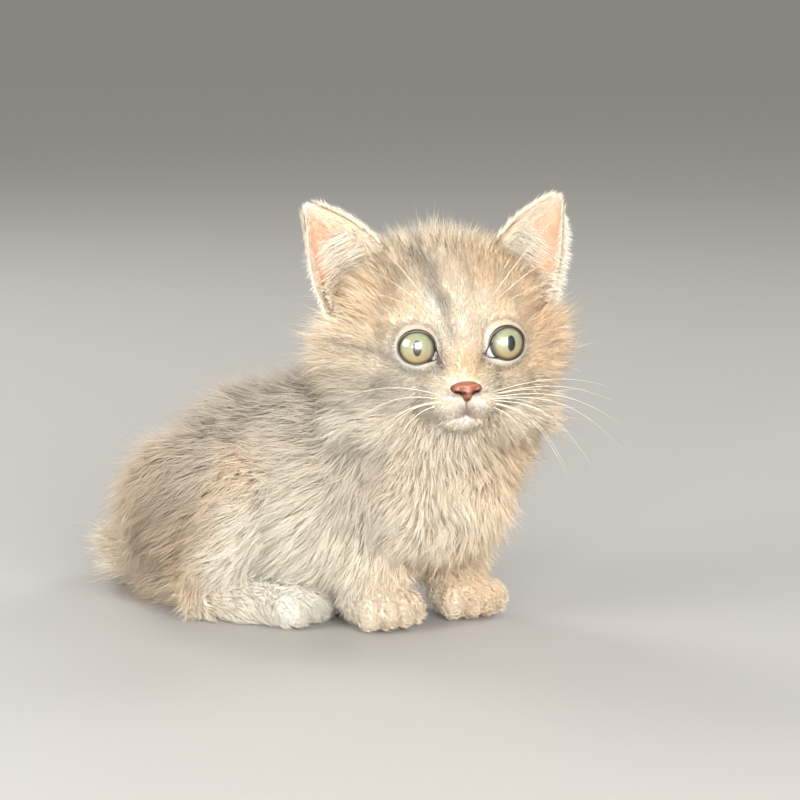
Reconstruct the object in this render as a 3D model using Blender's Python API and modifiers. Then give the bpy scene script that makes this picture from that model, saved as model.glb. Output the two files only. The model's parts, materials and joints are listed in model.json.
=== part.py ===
"""A sitting munchkin kitten at life size, about eight weeks old, with its fluffy kitten coat.

The body frame has +X along the trunk towards the chest, +Y to the kitten's left and +Z up, in metres.
The rear is turned a little to the left, the chest to the right, and the head further to the right.
Lumps of clay in millimetres are melted into one skin for each part, and the parts are then trimmed to
meet face to face.
"""

import math
import random

import bmesh
import bpy
from mathutils import Matrix, Vector
from mathutils.bvhtree import BVHTree

MM = 0.001
GAP = 0.3 * MM  # between two nodes that meet face to face

# Where the three turned regions of the body stand, and how far each is turned about +Z.
REAR_PLACE = Vector((-42, 0, 0)) * MM
REAR_TURN = math.radians(10)
FRONT_PLACE = Vector((35.5, 4.5, 0)) * MM
FRONT_TURN = math.radians(-25)
HEAD_PLACE = Vector((48.1, -4.9, 98.2)) * MM
HEAD_TURN = math.radians(-47)
HEAD_NOD = math.radians(4)  # nose up
HEAD_TILT = math.radians(1)  # left side up

# The coat stands on cores that reach about half way to its tips. Each region's locks have a length, a
# width, a thickness, a rise of the tip above the core, and the distance between their roots.
COATS = {
    "back": {"length": 25, "width": 9.5, "thick": 2.4, "rise": 7.5, "apart": 14.5},
    "bib": {"length": 26, "width": 10, "thick": 2.6, "rise": 8.0, "apart": 13.5},
    "belly": {"length": 15, "width": 9, "thick": 2.2, "rise": 3.5, "apart": 17.0},
    "neck": {"length": 19, "width": 8, "thick": 2.2, "rise": 8.0, "apart": 6.0},
    "cheek": {"length": 20, "width": 7.5, "thick": 2.0, "rise": 8.5, "apart": 10.0},
    "crown": {"length": 16, "width": 7, "thick": 1.8, "rise": 5.0, "apart": 12.0},
    "thigh": {"length": 22, "width": 9.5, "thick": 2.4, "rise": 8.5, "apart": 11.0},
    "shin": {"length": 12, "width": 7, "thick": 1.8, "rise": 3.2, "apart": 9.5},
    "tail": {"length": 18, "width": 8, "thick": 2.2, "rise": 6.0, "apart": 10.0},
}
LOCK_SINK = 2.6 * MM  # how far a lock's root goes into the core
OUTER_SKIN = 1.5 * MM  # from the smooth skin of the whole body, a point this near is on the outside
NECK_SKIN = 6.0 * MM  # the same in the hollow of the neck, which the smooth skin bridges
ROOT_ROOM = 3.2 * MM  # from a lock's root to another node
ROOT_TRIAL = 1.2 * MM  # the spacing of the places tried for roots
LOCK_CLEAR = 0.36 * MM  # from a lock to another node
FLOOR_CLEAR = 0.5 * MM  # from a lock to the floor
LOCK_STATIONS = (0.0, 0.3, 0.62)  # where a lock's cross sections stand, before its tip
LOCK_WIDTHS = (0.7, 1.0, 0.72)
LOCK_THICKNESSES = (0.9, 1.0, 0.7)
LOCK_HEIGHTS = (0.0, 0.22, 0.6, 1.0)  # of each section and the tip, as a share of the rise
LOCK_TRIES = (
    (1.0, 0.0, 0.0),
    (1.0, 0.0, 1.2),
    (0.8, 0.0, 1.2),
    (0.8, 0.4, 1.2),
    (0.8, -0.4, 1.2),
    (0.8, 0.0, 2.4),
    (0.8, 0.0, 3.6),
    (0.6, 0.0, 1.2),
    (0.6, 0.7, 1.2),
    (0.6, -0.7, 1.2),
    (0.6, 0.0, 3.6),
)  # how much shorter, how far turned and how much higher a lock is laid when it is in another node's way
LOCK_BEND = 0.5  # the least cosine between two stretches of a lock
LOCK_VARIES = 0.15  # how much longer or shorter than its region's length
LOCK_SWAY = 0.22  # how far turned from the lie
LOCK_UNEVEN = 0.8 * MM  # how much higher or lower
LOCK_SEED = 7

# The eyes are 27.4 mm apart, each with a round opening of about 13 mm.
EYE_CENTRE = Vector((20.9, 13.7, -3.6)) * MM
EYE_RADIUS = 7.6 * MM
EYE_SPLAY = math.radians(8)  # each eye looks a little outwards
LID_THICKNESS = 1.3 * MM
OPENING_RADIUS = 6.4 * MM  # at the next distance in front of the eye's centre
OPENING_PLACE = 6 * MM
OPENING_REACH = (4 * MM, 14 * MM)  # where the cutter of the opening begins and ends
OPENING_SLOPE = 0.32  # how fast the opening widens towards the front

NOSE_CENTRE = Vector((32.2, 0, -16.8)) * MM

# Where two nodes meet, the one later in this order gives way to the other.
TRIM_ORDER = (
    "nose",
    "head",
    "torso",
    "neck",
    "hindleg_left",
    "hindleg_right",
    "foreleg_left",
    "foreleg_right",
    "ear_left",
    "ear_right",
    "tail_root",
    "tail_tip",
)

# The nodes that carry locks, in the order in which they are given them.
LOCKED_NODES = (
    "head",
    "hindleg_left",
    "hindleg_right",
    "foreleg_left",
    "foreleg_right",
    "tail_root",
    "tail_tip",
    "neck",
    "torso",
)

COLOURS = {
    "coat": ((0.66, 0.56, 0.44), 0.9),
    "eye": ((0.36, 0.36, 0.20), 0.12),
    "nose": ((0.60, 0.26, 0.18), 0.5),
    "ear": ((0.78, 0.58, 0.47), 0.8),
}

# The lumps of each part: (centre, radii, lean in degrees).
TRUNK_LUMPS = {
    "shoulders": ((27, 3, 51), (27, 28, 31.5), (0, 0, -12)),
    "ribs": ((3, 1, 45), (34, 29, 35), (0, 8, 0)),
    "loin": ((-22, 0, 40), (31, 29, 33.5), (0, 20, 4)),
    "rump": ((-42, 0, 29), (30, 30, 27), (0, 12, 10)),
    "seat": ((-47, 0, 13), (21, 22, 15), (0, 0, 10)),
    "belly": ((0, 0, 26), (36, 24, 22), (0, 0, 0)),
}
CHEST_LUMPS = {
    "breast": ((3, 1, 48), (25, 29, 29), (0, 0, 0)),
    "bib": ((7, 4, 59), (22, 31, 23), (0, 0, 0)),
}
HEAD_LUMPS = {
    "cranium": ((-5, 0, 4), (30, 30, 26), (0, 0, 0)),
    "forehead": ((8, 0, 8), (20, 23, 18), (0, 0, 0)),
    "jaw": ((6, 0, -15), (22, 23, 14), (0, 0, 0)),
    "muzzle": ((19, 0, -17), (12.5, 14, 12), (0, 0, 0)),
    "chin": ((23.5, 0, -26.0), (8, 8, 5.5), (0, 0, 0)),
}
HEAD_PAIRS = {
    "cheek": ((0, 19, -9), (22, 18, 18), (0, 0, 0)),
    "ruff": ((-3, 18, -26), (18, 17, 13.5), (0, 0, 0)),
    "malar": ((13, 15, -15), (11, 11, 9), (0, 0, 30)),
    "pad": ((26.5, 5.0, -20.6), (7.2, 6.6, 5.2), (0, 0, 12)),
    "brow": ((12.5, 11, 5), (13, 12.5, 10), (0, 0, 20)),
    "orbit": ((17.9, 13.9, -4), (10, 11, 10.5), (0, 0, 0)),
}
BRIDGE_STATIONS = ((18.5, 0, 3, 9.5), (25.5, 0, -13.5, 5.8))
NECK_STATIONS = ((37, 2, 62, 26), (44, -3, 87, 27))
THIGH_STATIONS = ((-4, 14, 33, 21), (20, 24, 44, 14))
SHANK_STATIONS = ((22, 26, 44, 12), (10, 28, 11, 8.5))
HAUNCH_LUMP = ((2, 20.2, 35), (23, 16, 24), (0, -20, 0))
HIND_FOOT_STATIONS = ((10.5, 28, 7.0, 7.4), (40, 27, 6.8, 7.6))
HIND_TOES = (43.5, 27, 6.3)
FORELEG_STATIONS = ((-10, 10.5, 37, 14.5), (-5, 16, 16, 12))
PAW_LUMP = ((-1, 16.5, 7.5), (12, 11.5, 8.4), (0, 0, 0))
FRONT_TOES = (7.5, 16.5, 6.3)
TOE_RADII = (6.6, 3.9, 6.2)
TOE_STEPS = (-1.5, -0.5, 0.5, 1.5)
TOE_SPACING = 5.4
TAIL_STATIONS = (
    (-62, -2, 20, 10),
    (-76, 2, 14, 9),
    (-82, 15, 11, 9),
    (-78, 31, 10.5, 9),
    (-66, 43, 10, 8.5),
    (-52, 50, 9, 7.5),
    (-40, 53, 7.5, 5.5),
)
TAIL_SPLIT = 3  # the station where the tail's two nodes meet

# The left ear's corners in the head's frame: its inner and outer edge at the base and at the rounded tip.
EAR_INNER_BASE = Vector((-1, 17.5, 26))
EAR_OUTER_BASE = Vector((-2, 36, 5.5))
EAR_INNER_TIP = Vector((-3.5, 39.0, 41.0))
EAR_OUTER_TIP = Vector((-3.5, 42.0, 38.3))
EAR_CUP = 13  # depth of the cup at its base
EAR_FLATTER = 0.85  # the share of the cup that is gone at the tip
EAR_SWELL = (1.6, 2.2)  # how far the inner and the outer edge bow out half way up
EAR_ROUND = 1.6  # how far the middle of the tip stands up
EAR_WALL = 1.8 * MM

# The line of the mouth in the head's frame: half width, height of the corners and of the middle.
MOUTH_HALF = 8.5
MOUTH_MIDDLE = -24.3
MOUTH_CORNER = -25.8
MOUTH_SAG = 0.9  # how far each half of the line hangs between its ends
MOUTH_TO_NOSE = 4.5
MOUTH_GROOVE = 0.75 * MM


def clear_scene():
    for old in list(bpy.data.objects):
        bpy.data.objects.remove(old)


def placed(place, turn, nod=0.0, tilt=0.0):
    """From a region's own frame to the body frame. A nod lifts its front and a tilt its left side."""
    matrix = Matrix.Translation(place) @ Matrix.Rotation(turn, 4, "Z")
    return matrix @ Matrix.Rotation(-nod, 4, "Y") @ Matrix.Rotation(tilt, 4, "X")


BODY = Matrix.Identity(4)
REAR = placed(REAR_PLACE, REAR_TURN)
FRONT = placed(FRONT_PLACE, FRONT_TURN)
HEAD = placed(HEAD_PLACE, HEAD_TURN, HEAD_NOD, HEAD_TILT)


def on_side(point, side):
    """A point given for the left side, on the left (side 1) or the right (side -1)."""
    return Vector((point[0], point[1] * side, point[2]))


def add_lump(bm, frame, centre, radii, lean=(0, 0, 0), sides=24):
    """An ellipsoid of clay, leant about its own X, Y and Z in degrees."""
    turn = Matrix.Rotation(math.radians(lean[2]), 4, "Z")
    turn = turn @ Matrix.Rotation(math.radians(lean[1]), 4, "Y")
    turn = turn @ Matrix.Rotation(math.radians(lean[0]), 4, "X")
    size = Matrix.Diagonal((*(Vector(radii) * MM), 1))
    matrix = frame @ Matrix.Translation(Vector(centre) * MM) @ turn @ size
    bmesh.ops.create_uvsphere(bm, u_segments=sides, v_segments=2 * sides // 3, radius=1, matrix=matrix)


def add_limb(bm, frame, stations):
    """A limb of clay through stations of (x, y, z, radius): each stretch is the hull of two balls."""
    for start, end in zip(stations, stations[1:]):
        stretch = bmesh.new()
        for x, y, z, radius in (start, end):
            matrix = frame @ Matrix.Translation(Vector((x, y, z)) * MM)
            bmesh.ops.create_icosphere(stretch, subdivisions=2, radius=radius * MM, matrix=matrix)
        bmesh.ops.convex_hull(stretch, input=stretch.verts)
        inside = [v for v in stretch.verts if not v.link_faces]
        bmesh.ops.delete(stretch, geom=inside, context="VERTS")
        mesh = bpy.data.meshes.new("stretch")
        stretch.to_mesh(mesh)
        stretch.free()
        bm.from_mesh(mesh)
        bpy.data.meshes.remove(mesh)


def object_of(name, bm, collection):
    mesh = bpy.data.meshes.new(name)
    bmesh.ops.recalc_face_normals(bm, faces=bm.faces)
    bm.to_mesh(mesh)
    bm.free()
    made = bpy.data.objects.new(name, mesh)
    collection.objects.link(made)
    return made


def apply_modifiers(obj):
    """Puts what the modifiers make into the object's own mesh."""
    graph = bpy.context.evaluated_depsgraph_get()
    mesh = bpy.data.meshes.new_from_object(obj.evaluated_get(graph))
    old = obj.data
    obj.modifiers.clear()
    obj.data = mesh
    bpy.data.meshes.remove(old)
    mesh.name = obj.name


def fuse(obj, voxel, rounds, triangles):
    """Melts overlapping lumps into one skin, softens it and thins it to about so many triangles."""
    melt = obj.modifiers.new("melt", "REMESH")
    melt.mode = "VOXEL"
    melt.voxel_size = voxel
    soften = obj.modifiers.new("soften", "SMOOTH")
    soften.factor = 0.5
    soften.iterations = rounds
    apply_modifiers(obj)
    thin = obj.modifiers.new("thin", "DECIMATE")
    thin.ratio = min(1.0, triangles / (2 * len(obj.data.polygons)))
    apply_modifiers(obj)
    return obj


def boolean(obj, operation, other):
    """Cuts or joins with another object, or with all of a list, and keeps the largest closed body."""
    others = other if isinstance(other, list) else [other]
    for each in others:
        step = obj.modifiers.new("step", "BOOLEAN")
        step.operation = operation
        step.solver = "EXACT"
        step.object = each
    apply_modifiers(obj)
    keep_largest(obj)
    return obj


def volume_of(faces):
    total = 0.0
    for face in faces:
        a, b, c = (v.co for v in face.verts)
        total += a.dot(b.cross(c)) / 6
    return total


def closed_pieces(bm):
    """The faces of each connected piece of a mesh."""
    unseen = set(bm.faces)
    pieces = []
    while unseen:
        reached = [unseen.pop()]
        piece = []
        while reached:
            face = reached.pop()
            piece.append(face)
            for edge in face.edges:
                for near in edge.link_faces:
                    if near in unseen:
                        unseen.remove(near)
                        reached.append(near)
        pieces.append(piece)
    return pieces


def keep_largest(obj):
    bm = bmesh.new()
    bm.from_mesh(obj.data)
    bmesh.ops.triangulate(bm, faces=bm.faces)
    pieces = sorted(closed_pieces(bm), key=volume_of)
    scraps = [face for piece in pieces[:-1] for face in piece]
    bmesh.ops.delete(bm, geom=scraps, context="FACES")
    bm.to_mesh(obj.data)
    bm.free()


def grown(obj, collection):
    """A copy swollen by the gap along its normals, to trim its neighbours with."""
    copy = bpy.data.objects.new(obj.name + ".grown", obj.data.copy())
    collection.objects.link(copy)
    bm = bmesh.new()
    bm.from_mesh(copy.data)
    bm.normal_update()
    for vert in bm.verts:
        vert.co += vert.normal * GAP
    bm.to_mesh(copy.data)
    bm.free()
    copy.hide_render = True
    copy.display_type = "WIRE"
    return copy


def flatten_base(obj):
    """Cuts the object level where it rests on the floor."""
    bm = bmesh.new()
    bm.from_mesh(obj.data)
    cut = bmesh.ops.bisect_plane(
        bm,
        geom=list(bm.verts) + list(bm.edges) + list(bm.faces),
        plane_co=(0, 0, 0),
        plane_no=(0, 0, 1),
        clear_inner=True,
    )
    rim = [part for part in cut["geom_cut"] if isinstance(part, bmesh.types.BMEdge)]
    if rim:
        bmesh.ops.edgeloop_fill(bm, edges=rim)
    bmesh.ops.recalc_face_normals(bm, faces=bm.faces)
    bmesh.ops.triangulate(bm, faces=bm.faces)
    bm.to_mesh(obj.data)
    bm.free()


def add_toes(bm, frame, place, side):
    """Four toes in a shallow arc across the front of a paw."""
    for step in TOE_STEPS:
        back = 1.1 * step * step
        centre = (place[0] - back, place[1] * side + step * TOE_SPACING, place[2])
        add_lump(bm, frame, centre, TOE_RADII, (0, 0, 6 * step))


def make_torso(parts):
    bm = bmesh.new()
    for centre, radii, lean in TRUNK_LUMPS.values():
        add_lump(bm, BODY, centre, radii, lean)
    for centre, radii, lean in CHEST_LUMPS.values():
        add_lump(bm, FRONT, centre, radii, lean)
    torso = fuse(object_of("torso", bm, parts), voxel=1.6 * MM, rounds=14, triangles=700)
    flatten_base(torso)
    return torso


def make_head_core(parts):
    bm = bmesh.new()
    for centre, radii, lean in HEAD_LUMPS.values():
        add_lump(bm, HEAD, centre, radii, lean)
    for side in (1, -1):
        for centre, radii, lean in HEAD_PAIRS.values():
            add_lump(bm, HEAD, on_side(centre, side), radii, (lean[0], lean[1], lean[2] * side))
    add_limb(bm, HEAD, BRIDGE_STATIONS)
    return fuse(object_of("head", bm, parts), voxel=1.0 * MM, rounds=9, triangles=1300)


def make_neck(parts):
    bm = bmesh.new()
    add_limb(bm, BODY, NECK_STATIONS)
    return fuse(object_of("neck", bm, parts), voxel=2.0 * MM, rounds=4, triangles=180)


def make_foreleg(parts, side, name):
    bm = bmesh.new()
    add_limb(bm, FRONT, [(x, y * side, z, r) for x, y, z, r in FORELEG_STATIONS])
    add_lump(bm, FRONT, on_side(PAW_LUMP[0], side), PAW_LUMP[1])
    add_toes(bm, FRONT, FRONT_TOES, side)
    leg = fuse(object_of(name, bm, parts), voxel=0.9 * MM, rounds=3, triangles=440)
    flatten_base(leg)
    return leg


def make_hindleg(parts, side, name):
    bm = bmesh.new()
    for stations in (THIGH_STATIONS, SHANK_STATIONS, HIND_FOOT_STATIONS):
        add_limb(bm, REAR, [(x, y * side, z, r) for x, y, z, r in stations])
    add_lump(bm, REAR, on_side(HAUNCH_LUMP[0], side), HAUNCH_LUMP[1], HAUNCH_LUMP[2])
    add_toes(bm, REAR, HIND_TOES, side)
    leg = fuse(object_of(name, bm, parts), voxel=1.0 * MM, rounds=5, triangles=600)
    flatten_base(leg)
    return leg


def make_tail(parts, stations, name):
    bm = bmesh.new()
    add_limb(bm, BODY, stations)
    tail = fuse(object_of(name, bm, parts), voxel=1.6 * MM, rounds=4, triangles=180)
    flatten_base(tail)
    return tail


def eye_frame(side):
    """From an eye's own frame, +X the way it looks, to the body frame."""
    turn = Matrix.Rotation(EYE_SPLAY * side, 4, "Z")
    return HEAD @ Matrix.Translation(on_side(EYE_CENTRE, side)) @ turn


def ball(name, collection, frame, radius, segments=16, rings=8):
    """A ball whose poles lie on the frame's X."""
    bm = bmesh.new()
    matrix = frame @ Matrix.Rotation(math.radians(90), 4, "Y")
    bmesh.ops.create_uvsphere(bm, u_segments=segments, v_segments=rings, radius=radius, matrix=matrix)
    return object_of(name, bm, collection)


def make_eye(parts, side, name):
    return ball(name, parts, eye_frame(side), EYE_RADIUS)


def set_eyelids(head, side, cutters):
    """Raises a lid over the eye, hollows the socket behind it and opens it to the front."""
    frame = eye_frame(side)
    lid = ball("lid", cutters, frame, EYE_RADIUS + GAP + LID_THICKNESS)
    socket = ball("socket", cutters, frame, EYE_RADIUS + GAP)
    bm = bmesh.new()
    near, far = OPENING_REACH
    matrix = frame @ Matrix.Translation(((near + far) / 2, 0, 0)) @ Matrix.Rotation(math.radians(90), 4, "Y")
    bmesh.ops.create_cone(
        bm,
        cap_ends=True,
        segments=16,
        radius1=OPENING_RADIUS + OPENING_SLOPE * (near - OPENING_PLACE),
        radius2=OPENING_RADIUS + OPENING_SLOPE * (far - OPENING_PLACE),
        depth=far - near,
        matrix=matrix,
    )
    opening = object_of("opening", bm, cutters)
    boolean(head, "UNION", lid)
    boolean(head, "DIFFERENCE", [socket, opening])
    for cutter in (lid, socket, opening):
        bpy.data.objects.remove(cutter)


def surface_in_front(head, y, z):
    """The point of the head's surface straight in front of a place in its frame, in millimetres."""
    start = HEAD @ (Vector((70, y, z)) * MM)
    inwards = HEAD.to_3x3() @ Vector((-1, 0, 0))
    return tree_of(head).ray_cast(start, inwards)[0]


def tube_along(name, points, radius, collection):
    """A thin closed tube through the points."""
    curve = bpy.data.curves.new(name, "CURVE")
    curve.dimensions = "3D"
    curve.bevel_depth = radius
    curve.bevel_resolution = 0
    curve.use_fill_caps = True
    spline = curve.splines.new("POLY")
    spline.points.add(len(points) - 1)
    for spot, point in zip(spline.points, points):
        spot.co = (*point, 1)
    held = bpy.data.objects.new(name, curve)
    collection.objects.link(held)
    graph = bpy.context.evaluated_depsgraph_get()
    mesh = bpy.data.meshes.new_from_object(held.evaluated_get(graph))
    bpy.data.objects.remove(held)
    bm = bmesh.new()
    bm.from_mesh(mesh)
    bpy.data.meshes.remove(mesh)
    bmesh.ops.remove_doubles(bm, verts=bm.verts, dist=0.01 * MM)
    return object_of(name, bm, collection)


def cut_mouth(head, cutters):
    """The line of the mouth, with the short groove that runs up from it to the nose."""
    steps = 5
    line = []
    for index in range(-steps, steps + 1):
        share = index / steps
        sag = MOUTH_SAG * math.sin(math.pi * abs(share))
        height = MOUTH_MIDDLE + (MOUTH_CORNER - MOUTH_MIDDLE) * abs(share) - sag
        line.append(surface_in_front(head, MOUTH_HALF * share, height))
    groove = [surface_in_front(head, 0, MOUTH_MIDDLE + share * MOUTH_TO_NOSE) for share in (0, 0.5, 1)]
    for points, radius in ((line, MOUTH_GROOVE), (groove, 0.8 * MOUTH_GROOVE)):
        cutter = tube_along("groove", points, radius, cutters)
        boolean(head, "DIFFERENCE", cutter)
        bpy.data.objects.remove(cutter)


def make_nose(parts):
    """The nose leather: a rounded pad, wide above and narrow below."""
    bm = bmesh.new()
    x, y, z = NOSE_CENTRE / MM
    add_lump(bm, HEAD, (x - 2.5, y, z + 1.6), (5.0, 5.2, 2.4))
    add_lump(bm, HEAD, (x - 2.0, y, z - 0.6), (4.4, 3.2, 3.6))
    for side in (1, -1):
        add_lump(bm, HEAD, (x - 3.0, y + 3.4 * side, z + 0.2), (4.0, 2.5, 2.5))
    return fuse(object_of("nose", bm, parts), voxel=0.5 * MM, rounds=3, triangles=150)


def cut_nostrils(nose, cutters):
    x, y, z = NOSE_CENTRE / MM
    for side in (1, -1):
        bm = bmesh.new()
        lean = (20 * side, 0, 25 * side)
        add_lump(bm, HEAD, (x + 0.6, y + 2.7 * side, z - 0.6), (2.6, 1.25, 1.0), lean, sides=6)
        nostril = object_of("nostril", bm, cutters)
        boolean(nose, "DIFFERENCE", nostril)
        bpy.data.objects.remove(nostril)


def ear_point(across, up):
    """A point of the left ear's inner face: across from its inner edge, up from its base, both 0 to 1."""
    base = EAR_INNER_BASE.lerp(EAR_OUTER_BASE, across)
    tip = EAR_INNER_TIP.lerp(EAR_OUTER_TIP, across)
    point = base.lerp(tip, up)
    bow = 4 * across * (1 - across)
    point.x -= EAR_CUP * bow * (1 - EAR_FLATTER * up)
    outwards = (EAR_OUTER_BASE - EAR_INNER_BASE).normalized()
    swell = EAR_SWELL[1] * across - EAR_SWELL[0] * (1 - across)
    point += outwards * math.sin(math.pi * up) * swell
    point += (EAR_INNER_TIP - EAR_INNER_BASE).normalized() * EAR_ROUND * bow * up**4
    return point


def make_ear(parts, side, name):
    """A cupped shell that opens forwards and outwards and leans out to a rounded tip."""
    bm = bmesh.new()
    bmesh.ops.create_grid(bm, x_segments=6, y_segments=5, size=0.5)
    for vert in bm.verts:
        point = ear_point(vert.co.x + 0.5, vert.co.y * 1.25 + 0.375)
        vert.co = HEAD @ (on_side(point, side) * MM)
    ear = object_of(name, bm, parts)
    wall = ear.modifiers.new("wall", "SOLIDIFY")
    wall.thickness = EAR_WALL
    wall.offset = 0.0
    apply_modifiers(ear)
    bm = bmesh.new()
    bm.from_mesh(ear.data)
    bmesh.ops.triangulate(bm, faces=bm.faces)
    bmesh.ops.recalc_face_normals(bm, faces=bm.faces)
    bm.to_mesh(ear.data)
    bm.free()
    return ear


def trim(parts, cutters, order):
    """Each node gives way, by the gap, to the untrimmed form of all those before it in the order."""
    forms = {name: grown(parts.objects[name], cutters) for name in order}
    for place, name in enumerate(order):
        for other in order[:place]:
            if boxes_meet(parts.objects[name], forms[other]):
                boolean(parts.objects[name], "DIFFERENCE", forms[other])
    for form in forms.values():
        bpy.data.objects.remove(form)


def boxes_meet(one, other):
    limits = []
    for obj in (one, other):
        points = [v.co for v in obj.data.vertices]
        low = [min(p[axis] for p in points) - GAP for axis in range(3)]
        high = [max(p[axis] for p in points) + GAP for axis in range(3)]
        limits.append((low, high))
    (low_a, high_a), (low_b, high_b) = limits
    return all(low_a[axis] <= high_b[axis] and low_b[axis] <= high_a[axis] for axis in range(3))


def tree_of(obj):
    bm = bmesh.new()
    bm.from_mesh(obj.data)
    tree = BVHTree.FromBMesh(bm)
    bm.free()
    return tree


def body_guide(parts, names, cutters):
    """One smooth skin over all the cores, which the locks follow from part to part."""
    bm = bmesh.new()
    for name in names:
        bm.from_mesh(parts.objects[name].data)
    guide = fuse(object_of("coat_guide", bm, cutters), voxel=2.0 * MM, rounds=6, triangles=6000)
    tree = tree_of(guide)
    bpy.data.objects.remove(guide)
    return tree


def in_frame(frame, point):
    """A point of the body frame in millimetres of a region's own frame."""
    return (frame.inverted() @ point) / MM


def coat_region(name, point):
    """The kind of coat at a point of a node, or nothing where the coat is short."""
    head = in_frame(HEAD, point)
    front = in_frame(FRONT, point)
    rear = in_frame(REAR, point)
    if name == "head":
        face_edge = 13 + 0.4 * max(0, abs(head.y) - 18)
        if head.x > face_edge and head.z > -26 or head.x > 20:
            return None
        return "cheek" if head.z < 8 and head.x > -20 else "crown"
    if name == "torso":
        if front.x > 8:
            return "bib"
        return "belly" if point.z < 14 * MM else "back"
    if name.startswith("foreleg"):
        return "shin" if front.z > 13 and front.x < 12 else None
    if name.startswith("hindleg"):
        if rear.z > 22 or rear.x < 2:
            return "thigh"
        return "shin" if rear.x < 22 and rear.z > 9 else None
    return "neck" if name == "neck" else "tail"


def tail_direction(point):
    """Along the tail, towards its tip, at the nearest stretch of its bones."""
    here = point / MM
    nearest = None
    for start, end in zip(TAIL_STATIONS, TAIL_STATIONS[1:]):
        a, b = Vector(start[:3]), Vector(end[:3])
        share = max(0.0, min(1.0, (here - a).dot(b - a) / (b - a).length_squared))
        distance = (a.lerp(b, share) - here).length
        if nearest is None or distance < nearest[0]:
            nearest = (distance, b - a)
    return nearest[1].normalized()


def coat_lie(name, point):
    """The way the hair lies at a point, before it is laid flat on the surface."""
    if name == "head":
        away = in_frame(HEAD, point) - Vector((34, 0, 4))
        return HEAD.to_3x3() @ Vector((away.x, 1.3 * away.y, away.z - 16)).normalized()
    if name.startswith("tail"):
        return tail_direction(point)
    if name.startswith("foreleg"):
        return Vector((0.1, 0, -1)).normalized()
    if name.startswith("hindleg"):
        return REAR.to_3x3() @ Vector((-1, 0, -1.1)).normalized()
    front = in_frame(FRONT, point)
    chest = max(0.0, min(1.0, (front.x + 14) / 22))
    backwards = REAR.to_3x3() @ Vector((-1, 0, -0.35))
    down = Vector((-0.12, 0.05, -1))
    return backwards.lerp(down, chest).normalized()


def spread_roots(obj, name, guide, strangers, draw):
    """Points spread evenly over the part of a node's outer surface that carries locks."""
    mesh = obj.data
    mesh.calc_loop_triangles()
    triangles = [tri for tri in mesh.loop_triangles if tri.area > 0]
    reach = []
    total = 0.0
    for tri in triangles:
        total += tri.area
        reach.append(total)
    roots = []
    for _ in range(int(total / ROOT_TRIAL**2)):
        tri = draw.choices(triangles, cum_weights=reach)[0]
        a, b, c = (mesh.vertices[index].co for index in tri.vertices)
        u, v = sorted((draw.random(), draw.random()))
        point = a * u + b * (v - u) + c * (1 - v)
        region = coat_region(name, point)
        skin = NECK_SKIN if region == "neck" else OUTER_SKIN
        if region is None or (guide.find_nearest(point)[0] - point).length > skin:
            continue
        if any(stranger.find_nearest(point)[3] < ROOT_ROOM for stranger in strangers):
            continue
        apart = COATS[region]["apart"] * MM
        if all((point - other).length > min(apart, gap) for other, _, gap in roots):
            roots.append((point, region, apart))
    return [(point, region) for point, region, _ in roots]


def lock_path(guide, root, lie, coat, scale, turn, lift):
    """The middle of a lock's sections and tip, each with the surface's normal and the way along it."""
    spot, normal = guide.find_nearest(root)[:2]
    ahead = (lie - normal * lie.dot(normal)).normalized()
    ahead = Matrix.Rotation(turn, 3, normal) @ ahead
    path = []
    shares = LOCK_STATIONS + (1.0,)
    before = 0.0
    for share, height in zip(shares, LOCK_HEIGHTS):
        step = (share - before) * coat["length"] * MM * scale
        before = share
        spot, normal = guide.find_nearest(spot + ahead * step)[:2]
        ahead = (ahead - normal * ahead.dot(normal)).normalized()
        rise = height * coat["rise"] * MM * (0.55 + 0.45 * scale) + lift
        middle = spot + normal * rise if share else root - normal * LOCK_SINK
        path.append((middle, normal, ahead))
    return path


def lies_smoothly(path):
    """Whether a lock's path bends gently, with no jump to another part of the body."""
    strides = [(b[0] - a[0]).normalized() for a, b in zip(path, path[1:])]
    return all(a.dot(b) > LOCK_BEND for a, b in zip(strides, strides[1:]))


def make_lock(path, coat, scale, extra=0.0):
    """A flat tapered lock: a diamond drawn out along the path, with its last section drawn to a point."""
    bm = bmesh.new()
    ring = bmesh.ops.create_circle(bm, cap_ends=True, segments=4, radius=1)["verts"]
    shapes = [vert.co.copy() for vert in ring]
    for number, (middle, normal, ahead) in enumerate(path[:-1]):
        if number:
            ring = draw_out(bm, ring)
        width = 0.5 * coat["width"] * MM * LOCK_WIDTHS[number] * (0.7 + 0.3 * scale) + extra
        thick = 0.5 * coat["thick"] * MM * LOCK_THICKNESSES[number] + extra
        across = ahead.cross(normal).normalized()
        for vert, shape in zip(ring, shapes):
            vert.co = middle + across * shape.x * width + normal * shape.y * thick
    ring = draw_out(bm, ring)
    tip, _, ahead = path[-1]
    bmesh.ops.pointmerge(bm, verts=ring, merge_co=tip + ahead * 2 * extra)
    bmesh.ops.holes_fill(bm, edges=bm.edges, sides=4)
    bmesh.ops.recalc_face_normals(bm, faces=bm.faces)
    return bm


def draw_out(bm, ring):
    """Extrudes the cap inside a ring, and gives the new ring in the same order."""
    cap = next(face for face in bm.faces if set(face.verts) == set(ring))
    places = [vert.co.copy() for vert in ring]
    drawn = bmesh.ops.extrude_discrete_faces(bm, faces=[cap])["faces"][0]
    return [min(drawn.verts, key=lambda vert, spot=spot: (vert.co - spot).length) for spot in places]


def lock_fits(path, coat, scale, strangers):
    """Whether a lock stays clear of the floor and of every other node."""
    bm = make_lock(path, coat, scale, LOCK_CLEAR)
    if min(vert.co.z for vert in bm.verts) < FLOOR_CLEAR:
        bm.free()
        return False
    tree = BVHTree.FromBMesh(bm)
    bm.free()
    return not any(tree.overlap(stranger) for stranger in strangers)


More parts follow.
